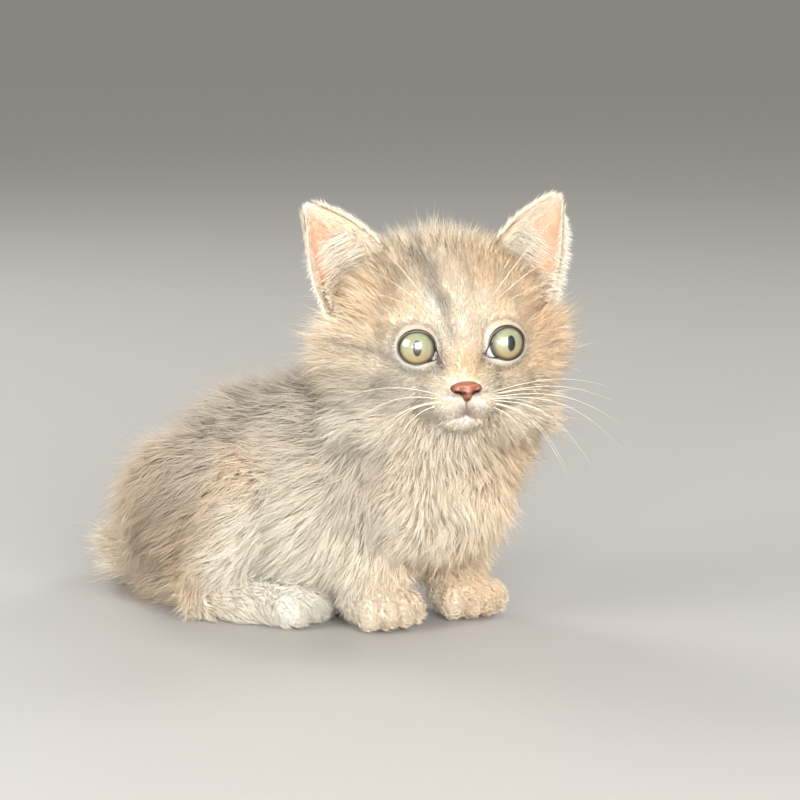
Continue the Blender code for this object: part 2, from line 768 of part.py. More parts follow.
def grow_locks(parts, cutters, name, guide, cores, placed_locks, draw):
    """Roots a node's locks, bends or shortens those in the way of another node, and joins them to it."""
    node = parts.objects[name]
    neighbours = [tree for other, tree in cores.items() if other != name]
    strangers = neighbours + [tree for other, tree in placed_locks if other != name]
    bunch = bpy.data.collections.new("locks_of_" + name)
    cutters.children.link(bunch)
    for root, region in spread_roots(node, name, guide, neighbours, draw):
        coat = COATS[region]
        size = draw.uniform(1 - LOCK_VARIES, 1 + LOCK_VARIES)
        sway = draw.uniform(-LOCK_SWAY, LOCK_SWAY)
        lift = draw.uniform(-LOCK_UNEVEN, LOCK_UNEVEN)
        tries = [(size * cut, sway + turn, lift + up * MM) for cut, turn, up in LOCK_TRIES]
        for scale, turn, up in tries:
            path = lock_path(guide, root, coat_lie(name, root), coat, scale, turn, up)
            if lies_smoothly(path) and lock_fits(path, coat, scale, strangers):
                made = object_of("lock", make_lock(path, coat, scale), bunch)
                placed_locks.append((name, tree_of(made)))
                break
    if bunch.objects:
        join = node.modifiers.new("locks", "BOOLEAN")
        join.operation = "UNION"
        join.solver = "MANIFOLD"
        join.operand_type = "COLLECTION"
        join.collection = bunch
        apply_modifiers(node)
        keep_largest(node)
    for lock in list(bunch.objects):
        bpy.data.objects.remove(lock)
    bpy.data.collections.remove(bunch)


def finish_material(obj, kind):
    colour, roughness = COLOURS[kind]
    material = bpy.data.materials.new(obj.name)
    material.use_nodes = True
    shader = material.node_tree.nodes["Principled BSDF"]
    shader.inputs["Base Color"].default_value = (*colour, 1)
    shader.inputs["Roughness"].default_value = roughness
    shader.inputs["Metallic"].default_value = 0.0
    obj.data.materials.clear()
    obj.data.materials.append(material)


def rest_on_origin(parts):
    """Moves the whole kitten so that the middle of its base is the origin."""
    points = [v.co for obj in parts.objects for v in obj.data.vertices]
    low = [min(p[axis] for p in points) for axis in range(3)]
    high = [max(p[axis] for p in points) for axis in range(3)]
    middle = Vector(((low[0] + high[0]) / 2, (low[1] + high[1]) / 2, low[2]))
    for obj in parts.objects:
        obj.data.transform(Matrix.Translation(-middle))


def main():
    clear_scene()
    parts = bpy.data.collections.new("munchkin_kitten")
    cutters = bpy.data.collections.new("cutters")
    for collection in (parts, cutters):
        bpy.context.scene.collection.children.link(collection)
    head = make_head_core(parts)
    torso = make_torso(parts)
    make_neck(parts)
    nose = make_nose(parts)
    for side, word in ((1, "left"), (-1, "right")):
        make_foreleg(parts, side, "foreleg_" + word)
        make_hindleg(parts, side, "hindleg_" + word)
        make_ear(parts, side, "ear_" + word)
        make_eye(parts, side, "eye_" + word)
    make_tail(parts, TAIL_STATIONS[: TAIL_SPLIT + 1], "tail_root")
    make_tail(parts, TAIL_STATIONS[TAIL_SPLIT:], "tail_tip")
    trim(parts, cutters, TRIM_ORDER)
    for side in (1, -1):
        set_eyelids(head, side, cutters)
    cut_mouth(head, cutters)
    cut_nostrils(nose, cutters)
    names = [obj.name for obj in parts.objects]
    guide = body_guide(parts, [name for name in names if not name.startswith(("ear", "eye"))], cutters)
    cores = {name: tree_of(parts.objects[name]) for name in names}
    draw = random.Random(LOCK_SEED)
    placed_locks = []
    for name in LOCKED_NODES:
        grow_locks(parts, cutters, name, guide, cores, placed_locks, draw)
    for obj in parts.objects:
        kind = obj.name.split("_")[0]
        finish_material(obj, kind if kind in COLOURS else "coat")
    rest_on_origin(parts)


main()
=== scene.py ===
import json
import math

import bmesh
import bpy
import numpy as np
from mathutils import Matrix, Vector, noise
from mathutils.bvhtree import BVHTree
from mathutils.kdtree import KDTree

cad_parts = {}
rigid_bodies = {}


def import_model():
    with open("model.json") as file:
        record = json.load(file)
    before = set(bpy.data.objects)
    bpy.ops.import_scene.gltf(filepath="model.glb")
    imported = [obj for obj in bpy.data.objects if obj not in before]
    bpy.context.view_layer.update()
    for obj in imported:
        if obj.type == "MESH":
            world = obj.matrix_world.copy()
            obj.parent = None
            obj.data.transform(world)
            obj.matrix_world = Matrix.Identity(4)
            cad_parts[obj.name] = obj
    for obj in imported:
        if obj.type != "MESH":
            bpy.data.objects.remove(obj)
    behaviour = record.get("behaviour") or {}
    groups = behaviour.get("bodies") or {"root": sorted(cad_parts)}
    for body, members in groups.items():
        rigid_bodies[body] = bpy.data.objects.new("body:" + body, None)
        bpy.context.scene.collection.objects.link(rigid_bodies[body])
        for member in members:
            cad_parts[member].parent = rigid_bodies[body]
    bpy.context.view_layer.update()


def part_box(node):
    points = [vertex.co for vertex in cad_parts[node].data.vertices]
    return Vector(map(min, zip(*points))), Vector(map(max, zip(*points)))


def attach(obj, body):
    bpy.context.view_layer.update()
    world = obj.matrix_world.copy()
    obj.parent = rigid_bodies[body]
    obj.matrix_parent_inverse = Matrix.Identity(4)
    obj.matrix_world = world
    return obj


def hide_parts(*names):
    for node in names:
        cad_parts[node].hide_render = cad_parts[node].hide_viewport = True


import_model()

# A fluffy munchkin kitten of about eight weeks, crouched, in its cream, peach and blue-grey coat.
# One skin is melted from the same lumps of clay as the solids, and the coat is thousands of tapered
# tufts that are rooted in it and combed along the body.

MM = 0.001
SEED = 11

# Where the turned regions of the body stand, as in the solids.
EYE_CENTRE = Vector((20.9, 13.7, -3.6)) * MM
EYE_RADIUS = 7.6 * MM
EYE_SPLAY = math.radians(8)


def placed(place, turn, nod=0.0, tilt=0.0):
    """From a region's own frame to the kitten's. A nod lifts its front and a tilt its left side."""
    matrix = Matrix.Translation(Vector(place) * MM) @ Matrix.Rotation(math.radians(turn), 4, "Z")
    matrix = matrix @ Matrix.Rotation(-math.radians(nod), 4, "Y")
    return matrix @ Matrix.Rotation(math.radians(tilt), 4, "X")


def middle_of(node):
    """The middle of a solid's box."""
    low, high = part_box(node)
    return (Vector(low) + Vector(high)) / 2


head_place = placed((48.1, -4.9, 98.2), -47, 4, 1)
SHIFT = Matrix.Translation(middle_of("eye_left") - head_place @ EYE_CENTRE)
BODY = SHIFT
REAR = SHIFT @ placed((-42, 0, 0), 10)
FRONT = SHIFT @ placed((35.5, 4.5, 0), -25)
HEAD = SHIFT @ head_place

# The clay of each part in millimetres: lumps are (frame, centre, radii, lean, how deep the skin lies in
# the solid), limbs are (frame, stations of x, y, z and radius, depth).
HEAD_LUMPS = (
    ((-5, 0, 4), (30, 30, 26), 0, 2.6),
    ((8, 0, 8), (20, 23, 18), 0, 1.6),
    ((6, 0, -15), (22, 23, 14), 0, 2.2),
    ((19, 0, -17), (12.5, 14, 12), 0, 1.0),
    ((23.5, 0, -26), (8, 8, 5.5), 0, 0.8),
)
HEAD_PAIRS = (
    ((0, 19, -9), (22, 18, 18), 0, 3.2),
    ((-3, 18, -26), (18, 17, 13.5), 0, 4.0),
    ((13, 15, -15), (11, 11, 9), 30, 1.4),
    ((26.5, 5, -20.6), (7.2, 6.6, 5.2), 12, 0.7),
    ((12.5, 11, 5), (13, 12.5, 10), 20, 1.4),
    ((17.9, 13.9, -4), (10, 11, 10.5), 0, 1.0),
)
TRUNK_LUMPS = (
    ((27, 3, 51), (27, 28, 31.5), (0, 0, -12)),
    ((3, 1, 45), (34, 29, 35), (0, 8, 0)),
    ((-22, 0, 40), (31, 29, 33.5), (0, 20, 4)),
    ((-42, 0, 29), (30, 30, 27), (0, 12, 10)),
    ((-47, 0, 13), (21, 22, 15), (0, 0, 10)),
    ((0, 0, 26), (36, 24, 22), (0, 0, 0)),
)
CHEST_LUMPS = (
    ((3, 1, 48), (25, 29, 29), (0, 0, 0)),
    ((7, 4, 59), (22, 31, 23), (0, 0, 0)),
)
TAIL_STATIONS = (
    (-62, -2, 20, 10),
    (-76, 2, 14, 9),
    (-82, 15, 11, 9),
    (-78, 31, 10.5, 9),
    (-66, 43, 10, 8.5),
    (-52, 50, 9, 7.5),
    (-40, 53, 7.5, 5.5),
)
THIGH = ((-4, 14, 33, 21), (20, 24, 44, 14))
SHANK = ((22, 26, 44, 12), (10, 28, 11, 8.5))
HIND_FOOT = ((10.5, 28, 7, 7.4), (40, 27, 6.8, 7.6))
HAUNCH = ((2, 20.2, 35), (23, 16, 24), (0, -20, 0))
FORELEG = ((-10, 10.5, 37, 14.5), (-5, 16, 16, 12))
TOE_RADII = (6.6, 3.9, 6.2)
TOE_STEPS = (-1.5, -0.5, 0.5, 1.5)
TOE_SPACING = 5.4
PAW_MIDDLE = 16.5  # from the chest's middle
PAW = ((-1, PAW_MIDDLE, 7.5), (12, 11.5, 8.4), (0, 0, 0))
FRONT_TOES = (7.5, PAW_MIDDLE, 6.3)
HIND_TOES = (43.5, 27, 6.3)


def sided(point, side):
    """A point given for the left side, on the left (side 1) or the right (side -1)."""
    return (point[0], point[1] * side, *point[2:])


def toes(region, place, side, depth):
    """Four toes in a shallow arc across the front of a paw."""
    lumps = []
    for step in TOE_STEPS:
        centre = (place[0] - 1.1 * step * step, place[1] * side + step * TOE_SPACING, place[2])
        lumps.append((region, centre, TOE_RADII, (0, 0, 6 * step), depth))
    return lumps


def gather_clay():
    """All lumps and limbs by part."""
    lumps = {"torso": [(BODY, *lump, 4.6) for lump in TRUNK_LUMPS]}
    lumps["torso"] += [(FRONT, *lump, 4.6) for lump in CHEST_LUMPS]
    lumps["head"] = [(HEAD, c, r, (0, 0, turn), depth) for c, r, turn, depth in HEAD_LUMPS]
    limbs = {"neck": [(BODY, ((37, 2, 62, 26), (44, -3, 87, 27)), 3.0)]}
    limbs["head"] = [(HEAD, ((18.5, 0, 3, 9.5), (25.5, 0, -13.5, 5.8)), 0.7)]
    limbs["tail"] = [(BODY, TAIL_STATIONS, 3.4)]
    for side, word in ((1, "left"), (-1, "right")):
        lumps["head"] += [(HEAD, sided(c, side), r, (0, 0, t * side), d) for c, r, t, d in HEAD_PAIRS]
        lumps["foreleg_" + word] = [(FRONT, sided(PAW[0], side), PAW[1], PAW[2], 1.1)]
        lumps["foreleg_" + word] += toes(FRONT, FRONT_TOES, side, 0.9)
        limbs["foreleg_" + word] = [(FRONT, [sided(s, side) for s in FORELEG], 2.4)]
        lumps["hindleg_" + word] = [(REAR, sided(HAUNCH[0], side), HAUNCH[1], HAUNCH[2], 3.6)]
        lumps["hindleg_" + word] += toes(REAR, HIND_TOES, side, 0.9)
        limbs["hindleg_" + word] = [(REAR, [sided(s, side) for s in THIGH], 3.6)]
        limbs["hindleg_" + word] += [(REAR, [sided(s, side) for s in SHANK], 2.0)]
        limbs["hindleg_" + word] += [(REAR, [sided(s, side) for s in HIND_FOOT], 1.1)]
    return lumps, limbs


LUMPS, LIMBS = gather_clay()
PARTS = ("head", "neck", "torso", "foreleg_left", "foreleg_right", "hindleg_left", "hindleg_right", "tail")


def sphere_matrix(region, centre, radii, lean):
    """Makes a ball of radius 1 into a leaning lump of clay."""
    turn = Matrix.Rotation(math.radians(lean[2]), 4, "Z")
    turn = turn @ Matrix.Rotation(math.radians(lean[1]), 4, "Y")
    turn = turn @ Matrix.Rotation(math.radians(lean[0]), 4, "X")
    size = Matrix.Diagonal((*(Vector(radii) * MM), 1))
    return region @ Matrix.Translation(Vector(centre) * MM) @ turn @ size


def add_lump(bm, region, centre, radii, lean, depth):
    """A lump of clay, less how deep the skin lies in it."""
    radii = [radius - depth for radius in radii]
    matrix = sphere_matrix(region, centre, radii, lean)
    bmesh.ops.create_uvsphere(bm, u_segments=40, v_segments=26, radius=1, matrix=matrix)


def add_limb(bm, region, stations, depth):
    """A limb of clay: each stretch is the hull of two balls."""
    for start, end in zip(stations, stations[1:]):
        stretch = bmesh.new()
        for x, y, z, radius in (start, end):
            matrix = region @ Matrix.Translation(Vector((x, y, z)) * MM)
            size = (radius - depth) * MM
            bmesh.ops.create_icosphere(stretch, subdivisions=3, radius=size, matrix=matrix)
        bmesh.ops.convex_hull(stretch, input=stretch.verts)
        inside = [v for v in stretch.verts if not v.link_faces]
        bmesh.ops.delete(stretch, geom=inside, context="VERTS")
        held = bpy.data.meshes.new("stretch")
        stretch.to_mesh(held)
        stretch.free()
        bm.from_mesh(held)
        bpy.data.meshes.remove(held)


def in_scene(name, data):
    """A new object, linked to the scene."""
    made = bpy.data.objects.new(name, data)
    bpy.context.scene.collection.objects.link(made)
    return made


def object_of(name, bm):
    """A new object from a finished mesh, with its faces outwards."""
    mesh = bpy.data.meshes.new(name)
    bmesh.ops.recalc_face_normals(bm, faces=bm.faces)
    bm.to_mesh(mesh)
    bm.free()
    return in_scene(name, mesh)


def apply_modifiers(obj):
    """Keeps what the modifiers make as the object's own mesh."""
    graph = bpy.context.evaluated_depsgraph_get()
    mesh = bpy.data.meshes.new_from_object(obj.evaluated_get(graph))
    old = obj.data
    obj.modifiers.clear()
    obj.data = mesh
    bpy.data.meshes.remove(old)
    mesh.name = obj.name


def melt(obj, voxel, rounds):
    """Melts overlapping lumps into one skin and softens it."""
    fuse = obj.modifiers.new("fuse", "REMESH")
    fuse.mode = "VOXEL"
    fuse.voxel_size = voxel
    soften = obj.modifiers.new("soften", "SMOOTH")
    soften.factor = 0.5
    soften.iterations = rounds
    apply_modifiers(obj)
    return obj


def thinned(obj, name, triangles):
    """A coarse copy of a skin."""
    copy = in_scene(name, obj.data.copy())
    thin = copy.modifiers.new("thin", "DECIMATE")
    thin.ratio = min(1.0, triangles / (2 * len(obj.data.polygons)))
    thin.use_collapse_triangulate = True
    apply_modifiers(copy)
    return copy


def mesh_points(obj):
    """The places of a mesh's vertices, a row each."""
    flat = np.empty(3 * len(obj.data.vertices))
    obj.data.vertices.foreach_get("co", flat)
    return flat.reshape(-1, 3)


def put_in_order(obj):
    """Sorts a mesh's vertices and faces, which a cut leaves in another order at each run."""
    mesh = obj.data
    points = mesh_points(obj)
    order = np.lexsort(points.T)
    rank = np.argsort(order).tolist()
    faces = []
    for face in mesh.polygons:
        corners = [rank[vertex] for vertex in face.vertices]
        start = corners.index(min(corners))
        faces.append(corners[start:] + corners[:start])
    mesh.clear_geometry()
    mesh.from_pydata(points[order], [], sorted(faces))


def cut(obj, operation, other):
    """Joins the other object to this one or takes it away from it, and removes it."""
    step = obj.modifiers.new("step", "BOOLEAN")
    step.operation = operation
    step.solver = "EXACT"
    step.object = other
    apply_modifiers(obj)
    bpy.data.objects.remove(other)
    put_in_order(obj)


def dressed(obj, material):
    """Shades all faces smoothly and gives the object its material."""
    obj.data.polygons.foreach_set("use_smooth", [True] * len(obj.data.polygons))
    obj.data.update()
    obj.data.materials.append(material)


def soft_step(value, low, high):
    """From 0 at low to 1 at high, in an S."""
    share = np.clip((value - low) / (high - low), 0.0, 1.0)
    return share * share * (3 - 2 * share)


def turned(matrix, points):
    """World points (rows, metres) in a region's own frame, in millimetres."""
    inverse = np.array(matrix.inverted())
    return (points @ inverse[:3, :3].T + inverse[:3, 3]) / MM


def unit(rows):
    """Rows of ways at length 1."""
    return rows / np.maximum(np.linalg.norm(rows, axis=1, keepdims=True), 1e-9)


def from_stretch(points, start, end):
    """How far points are from the stretch between two places, and how far along it the nearest place is."""
    a, b = np.array(start), np.array(end)
    share = np.clip((points - a) @ (b - a) / ((b - a) @ (b - a)), 0, 1)
    return np.linalg.norm(points - a - share[:, None] * (b - a), axis=1), share


def part_nearness(points):
    """How far each point is from each part's clay, in millimetres: one column a part."""
    columns = []
    for part in PARTS:
        gaps = []
        for region, centre, radii, lean, _ in LUMPS.get(part, ()):
            matrix = sphere_matrix(region, centre, radii, lean)
            inverse = np.array(matrix.inverted())
            local = np.linalg.norm(points @ inverse[:3, :3].T + inverse[:3, 3], axis=1)
            away = np.linalg.norm(points - np.array(matrix.translation), axis=1) / MM
            gaps.append((local - 1) * away / np.maximum(local, 0.05))
        for region, stations, _ in LIMBS.get(part, ()):
            local = turned(region, points)
            for start, end in zip(stations, stations[1:]):
                away, share = from_stretch(local, start[:3], end[:3])
                gaps.append(away - (start[3] + (end[3] - start[3]) * share))
        columns.append(np.min(gaps, axis=0))
    return np.stack(columns, axis=1)


# The eyes: each opening is nearly round, with the inner corner drawn out towards the nose.
OPENING = (5.85, 5.1)
CORNER_REACH = 1.5
CORNER_ANGLE = math.radians(-28)
CORNER_WIDTH = 0.30
LID_RADIUS = EYE_RADIUS + 0.7 * MM
SOCKET_GAP = 0.08 * MM  # between the eyeball and its socket
CORNEA_START = 0.72  # how near the eyeball's axis its cornea begins to bulge, and how far it does
CORNEA_RANGE = 0.28
CORNEA_BULGE = 0.035
OPENING_CUT = ((0.5, 0.72), (14.0, 1.48))  # where the cutter of the opening starts and ends, and its scale


def eye_frame(side):
    """From an eye's own frame, +X the way the opening faces, to the kitten's."""
    turn = Matrix.Rotation(EYE_SPLAY * side, 4, "Z")
    return HEAD @ Matrix.Translation(Vector(sided(EYE_CENTRE, side))) @ turn


def opening_reach(angle):
    """How far the opening reaches from the eye's axis at an angle from the inner corner's side, in mm."""
    a, b = OPENING
    oval = a * b / np.sqrt((b * np.cos(angle)) ** 2 + (a * np.sin(angle)) ** 2)
    away = np.angle(np.exp(1j * (angle - CORNER_ANGLE)))
    return oval + CORNER_REACH * np.exp(-((away / CORNER_WIDTH) ** 2))


def open_eye(skin, side):
    """Raises a lid over the eye, hollows the socket and opens it along the lids' edge."""
    region = eye_frame(side)
    upright = Matrix.Rotation(math.radians(90), 4, "Y")
    for radius, operation in ((LID_RADIUS, "UNION"), (EYE_RADIUS + SOCKET_GAP, "DIFFERENCE")):
        bm = bmesh.new()
        bmesh.ops.create_uvsphere(bm, u_segments=64, v_segments=40, radius=radius, matrix=region @ upright)
        cut(skin, operation, object_of("ball", bm))
    bm = bmesh.new()
    (near, small), (far, large) = OPENING_CUT
    bmesh.ops.create_cone(bm, cap_ends=True, segments=96, radius1=small, radius2=large, depth=far - near)
    for vert in bm.verts:
        x = vert.co.z + (near + far) / 2
        scale = small + (large - small) * (x - near) / (far - near)
        angle = math.atan2(vert.co.y, vert.co.x)
        reach = float(opening_reach(angle)) * scale
        vert.co = region @ (Vector((x, -side * reach * math.cos(angle), reach * math.sin(angle))) * MM)
    bmesh.ops.recalc_face_normals(bm, faces=bm.faces)
    cut(skin, "DIFFERENCE", object_of("opening", bm))


RIM_WIDTHS = (0.5, 0.6)  # of the dark lid edge below, and how much wider it is on top
RIM_THICKNESS = 0.32


def make_lid_rim(side, word, material):
    """The dark, wet edge of the lids: a band that lies on the lid all round the opening."""
    region = eye_frame(side)
    ball = LID_RADIUS / MM
    bm = bmesh.new()
    bmesh.ops.create_grid(bm, x_segments=144, y_segments=10, size=0.5)
    for vert in bm.verts:
        angle = 2 * math.pi * (vert.co.x + 0.5)
        round_band = 2 * math.pi * (vert.co.y + 0.5)
        width = RIM_WIDTHS[0] + RIM_WIDTHS[1] * max(0.0, math.sin(angle)) ** 0.8
        middle = float(opening_reach(angle)) + width / 2 - 0.16
        x = math.sqrt(ball**2 - middle**2)
        radial = Vector((0, -side * math.cos(angle), math.sin(angle)))
        outwards = (Vector((-middle, 0, 0)) + radial * x) / ball
        normal = (Vector((x, 0, 0)) + radial * middle) / ball
        centre = Vector((x, 0, 0)) + radial * middle
        spot = centre + outwards * math.cos(round_band) * width / 2
        spot += normal * (math.sin(round_band) * RIM_THICKNESS - 0.06)
        vert.co = region @ (spot * MM)
    bmesh.ops.remove_doubles(bm, verts=bm.verts, dist=0.00001)
    bmesh.ops.recalc_face_normals(bm, faces=bm.faces)
    rim = object_of("lid_rim_" + word, bm)
    dressed(rim, material)
    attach(rim, "root")


MOUTH_HALF = 8.5
MOUTH_MIDDLE = -24.3
MOUTH_CORNER = -25.8
MOUTH_SAG = 0.9
MOUTH_TO_NOSE = 4.5
LIP_WIDTH = 0.6  # of the pressed line, and of the groove under the nose
GROOVE_WIDTH = 0.5


def mouth_line():
    """The line of the mouth and the groove up to the nose, as (y, z) stretches in the head's frame."""
    steps = 8
    line = []
    for index in range(-steps, steps + 1):
        share = index / steps
        sag = MOUTH_SAG * math.sin(math.pi * abs(share))
        height = MOUTH_MIDDLE + (MOUTH_CORNER - MOUTH_MIDDLE) * abs(share) - sag
        line.append((MOUTH_HALF * share, height))
    groove = [(0, MOUTH_MIDDLE + MOUTH_TO_NOSE * share) for share in (0, 0.5, 1)]
    return line, groove


def line_distance(places, line):
    """The distance of (y, z) rows from a line of stretches."""
    best = np.full(len(places), 1e9)
    for start, end in zip(line, line[1:]):
        best = np.minimum(best, from_stretch(places, start, end)[0])
    return best


FINE_FRONT = 9  # the refined part of the head begins here, and reaches this far aside and up and down
FINE_SIDE = 27
FINE_HEIGHTS = (-33, 13)


def refine_face(skin):
    """Halves the faces of the front of the head and rounds them off."""
    bm = bmesh.new()
    bm.from_mesh(skin.data)
    inverse = HEAD.inverted()
    inside = set()
    for vert in bm.verts:
        x, y, z = (inverse @ vert.co) / MM
        if x > FINE_FRONT and abs(y) < FINE_SIDE and FINE_HEIGHTS[0] < z < FINE_HEIGHTS[1]:
            inside.add(vert)
    edges = [edge for edge in bm.edges if edge.verts[0] in inside and edge.verts[1] in inside]
    bmesh.ops.subdivide_edges(bm, edges=edges, cuts=1, use_grid_fill=True)
    fresh = [v for v in bm.verts if (inverse @ v.co).x > FINE_FRONT * MM]
    for _ in range(2):
        bmesh.ops.smooth_vert(bm, verts=fresh, factor=0.5, use_axis_x=True, use_axis_y=True, use_axis_z=True)
    bmesh.ops.triangulate(bm, faces=bm.faces)
    bm.to_mesh(skin.data)
    bm.free()


def press_mouth(skin):
    """Presses the line of the mouth and the groove under the nose into the skin."""
    points = mesh_points(skin)
    local = turned(HEAD, points)
    line, groove = mouth_line()
    front = soft_step(local[:, 0], 14, 20) * (np.abs(local[:, 1]) < 13)
    middle = np.exp(-((local[:, 1] / 3.5) ** 2))
    depth = (0.3 + 0.5 * middle) * np.exp(-((line_distance(local[:, 1:], line) / LIP_WIDTH) ** 2))
    depth += 0.7 * np.exp(-((line_distance(local[:, 1:], groove) / GROOVE_WIDTH) ** 2))
    inward = np.array(HEAD.to_3x3() @ Vector((-1, 0, 0)))
    points += inward * np.minimum(depth, 1.0)[:, None] * front[:, None] * MM
    skin.data.vertices.foreach_set("co", points.ravel())
    skin.data.update()


SKIN_VOXEL = 1.0 * MM
SKIN_ROUNDS = 7  # of softening, which leaves no seam between the parts
SKIN_FLAT = 0.6 * MM  # from the floor up to the skin under paws and belly
GUIDE_TRIANGLES = 14000  # of the coarse skin that guides the coat and carries its unwrap


def make_skin():
    """One skin for head, neck, trunk, legs and tail."""
    bm = bmesh.new()
    for part in PARTS:
        for lump in LUMPS.get(part, ()):
            add_lump(bm, *lump)
        for limb in LIMBS.get(part, ()):
            add_limb(bm, *limb)
    skin = melt(object_of("skin", bm), SKIN_VOXEL, SKIN_ROUNDS)
    points = mesh_points(skin)
    points[:, 2] = np.maximum(points[:, 2], SKIN_FLAT)
    skin.data.vertices.foreach_set("co", points.ravel())
    skin.data.update()
    return skin


def both(region, centre, radii, strength):
    """A mark and its mirror image on the other side of the region."""
    return (region, centre, radii, strength), (region, sided(centre, -1), radii, strength)


# The coat's markings, and the painted shade in the nostrils, as soft blobs: (frame, centre, radii,
# strength), in millimetres.
GREY_MARKS = (
    (HEAD, (-10, -4, 32), (22, 18, 9), 0.35),
    (HEAD, (-26, 0, 8), (14, 26, 26), 0.4),
    (HEAD, (18, -17, -15.5), (9, 9, 5.5), 0.6),
    (HEAD, (6, -30, -20), (10, 9, 9), 0.35),
    (HEAD, (26, -6.4, -9.9), (4, 1.8, 2.8), 0.75),
    (HEAD, (14, -20, 17), (7, 4, 3), 0.25),
    (HEAD, (20, 15, -17), (7, 7, 3.5), 0.25),
    (BODY, (-15, 0, 78), (60, 26, 14), 0.95),
    (BODY, (-32, 0, 60), (40, 44, 16), 0.75),
    (FRONT, (6, -26, 54), (14, 12, 16), 0.3),
    *both(REAR, (-12, -24, 36), (22, 16, 26), 0.82),
    *both(REAR, (0, -32, 40), (20, 16, 22), 0.6),
    *both(REAR, (36, -27, 8), (22, 12, 10), 0.5),
    (BODY, (-62, 0, 40), (18, 30, 26), 0.12),
    (BODY, (-70, 25, 10), (24, 34, 14), 0.2),
)
PEACH_MARKS = (
    (HEAD, (8, 20, 8), (22, 13, 20), 0.42),
    (HEAD, (0, 33, -8), (16, 10, 18), 0.45),
    (HEAD, (20, 9, 20), (10, 6, 10), 0.4),
    (HEAD, (28.5, 1.2, -10), (6, 4.2, 5), 0.8),
    (HEAD, (18, 9, -33), (9, 7, 4.5), 0.9),
    (HEAD, (12, -20, 12), (12, 9, 9), 0.35),
    (HEAD, (2, -34, -2), (12, 9, 12), 0.2),
    (HEAD, (21, 21, -9), (8, 8, 5), 0.4),
    (FRONT, (18, 22, 52), (18, 14, 24), 0.5),
    (FRONT, (26, 4, 60), (12, 18, 12), 0.6),
    (FRONT, (22, 0, 40), (14, 16, 16), 0.3),
    (FRONT, (28, -12, 52), (14, 12, 22), 0.3),
    *both(FRONT, (8, 16, 10), (18, 12, 13), 0.65),
    *both(REAR, (-10, -26, 38), (22, 14, 26), 0.32),
    (BODY, (-58, -12, 3), (10, 10, 7), 0.85),
    (BODY, (-66, 30, 10), (24, 30, 12), 0.25),
)
WHITE_MARKS = (
    (HEAD, (26.5, 0, -3), (5, 3, 6), 0.15),
    (HEAD, (28, 0, -21), (8, 9, 4.5), 0.3),
    (HEAD, (23, -12, -20), (7, 7, 4), 0.2),
    (HEAD, (20, 0, -30), (9, 9, 5), 0.7),
    (HEAD, (4, -30, -27), (14, 10, 9), 0.5),
    (HEAD, (10, 24, -24), (10, 9, 8), 0.5),
    (BODY, (3, -30, 25), (20, 16, 24), 0.95),
    (BODY, (-4, 30, 26), (24, 14, 24), 0.8),
    (FRONT, (24, -14, 34), (12, 12, 18), 0.6),
    (FRONT, (4, -26, 30), (14, 10, 16), 0.5),
    (FRONT, (28, -2, 50), (14, 30, 26), 0.45),
    (HEAD, (20, 0, -36), (14, 20, 8), 0.5),
    *both(REAR, (40, 27, 6), (20, 12, 10), 0.2),
    (BODY, (0, 0, 6), (60, 30, 12), 0.35),
)
DUSK_AND_NOSTRIL_SHADE_MARKS = (
    (HEAD, (31, 0, -23.4), (4, 2.3, 1.6), 0.75),
    # Painted shade: the skin seen through the nostrils, darkened.
    *both(HEAD, (31, 2.8, -17.9), (4, 1.9, 1.1), 0.95),
)
# Strokes of the markings and of painted shade: (frame, the axis that doesn't count, corners on the other
# two, width, strength).
# Painted shade in the clefts between the forepaws' toes, drawn as grey strokes along them.
TOE_CLEFT_SHADES = [side * PAW_MIDDLE + step * TOE_SPACING for side in (1, -1) for step in (-1, 0, 1)]
GREY_AND_SHADE_STROKES = (
    *[(FRONT, 2, ((9, line), (20, line)), 0.7, 0.75) for line in TOE_CLEFT_SHADES],
    (HEAD, 0, ((-10, 29), (-8.6, 23)), 3.4, 0.25),
    (HEAD, 0, ((-9.8, 22), (-7.2, 18), (-7.6, 12.5), (-5.2, 9)), 2.6, 0.72),
    (HEAD, 0, ((-5.2, 9.5), (-4.1, 4), (-2.4, -2)), 1.6, 0.58),
    (HEAD, 0, ((1.5, 31), (3.2, 22), (4.2, 12)), 1.6, 0.42),
    (HEAD, 0, ((7, 29), (9, 20)), 1.5, 0.3),
    (HEAD, 0, ((-4, 33), (-2.5, 25)), 1.4, 0.35),
    (HEAD, 0, ((-31, -4.2), (-21, -6.7), (-16.5, -9.4)), 1.3, 0.65),
    (HEAD, 0, ((-33, -12), (-24, -15), (-15, -17)), 2.0, 0.35),
    (HEAD, 0, ((-18, 12), (-14, 18)), 1.4, 0.3),
    # Along the crease before the haunch: a band that is partly the hair's own brown and partly painted shade
    # of the crease.
    (BODY, 1, ((-8, 54), (-20, 36), (-37, 8)), 5.0, 0.95),
    (BODY, 1, ((-17, 56), (-34, 34), (-48, 10)), 9.0, 0.45),
    (BODY, 1, ((-25, 44), (-31, 36)), 2.6, 0.5),
    (BODY, 1, ((-28, 31), (-38, 20)), 2.8, 0.5),
    (BODY, 1, ((-46, 40), (-52, 22)), 3.4, 0.35),
)
# The crease band's warm brown: partly the hair's own colour, partly painted shade of the crease.
PEACH_AND_SHADE_STROKES = ((BODY, 1, ((-8, 54), (-20, 36), (-37, 8)), 7.0, 0.6),)
WHITE_STROKES = (
    (HEAD, 0, ((-9.2, 12), (-6.9, 4), (-5.6, -1.5)), 1.5, 0.6),
    (HEAD, 0, ((7.3, 11), (8.6, 4), (9.0, -1)), 1.5, 0.45),
    (HEAD, 0, ((0.2, 14), (0.6, 2)), 1.3, 0.35),
)
DUSK_STROKES = (
    (HEAD, 0, ((-9.4, -5.2), (-7.4, -7.4), (-5.7, -10.2)), 0.75, 0.9),
    (HEAD, 0, ((8.6, -5.2), (7.0, -7.0), (5.8, -9.2)), 0.65, 0.75),
)


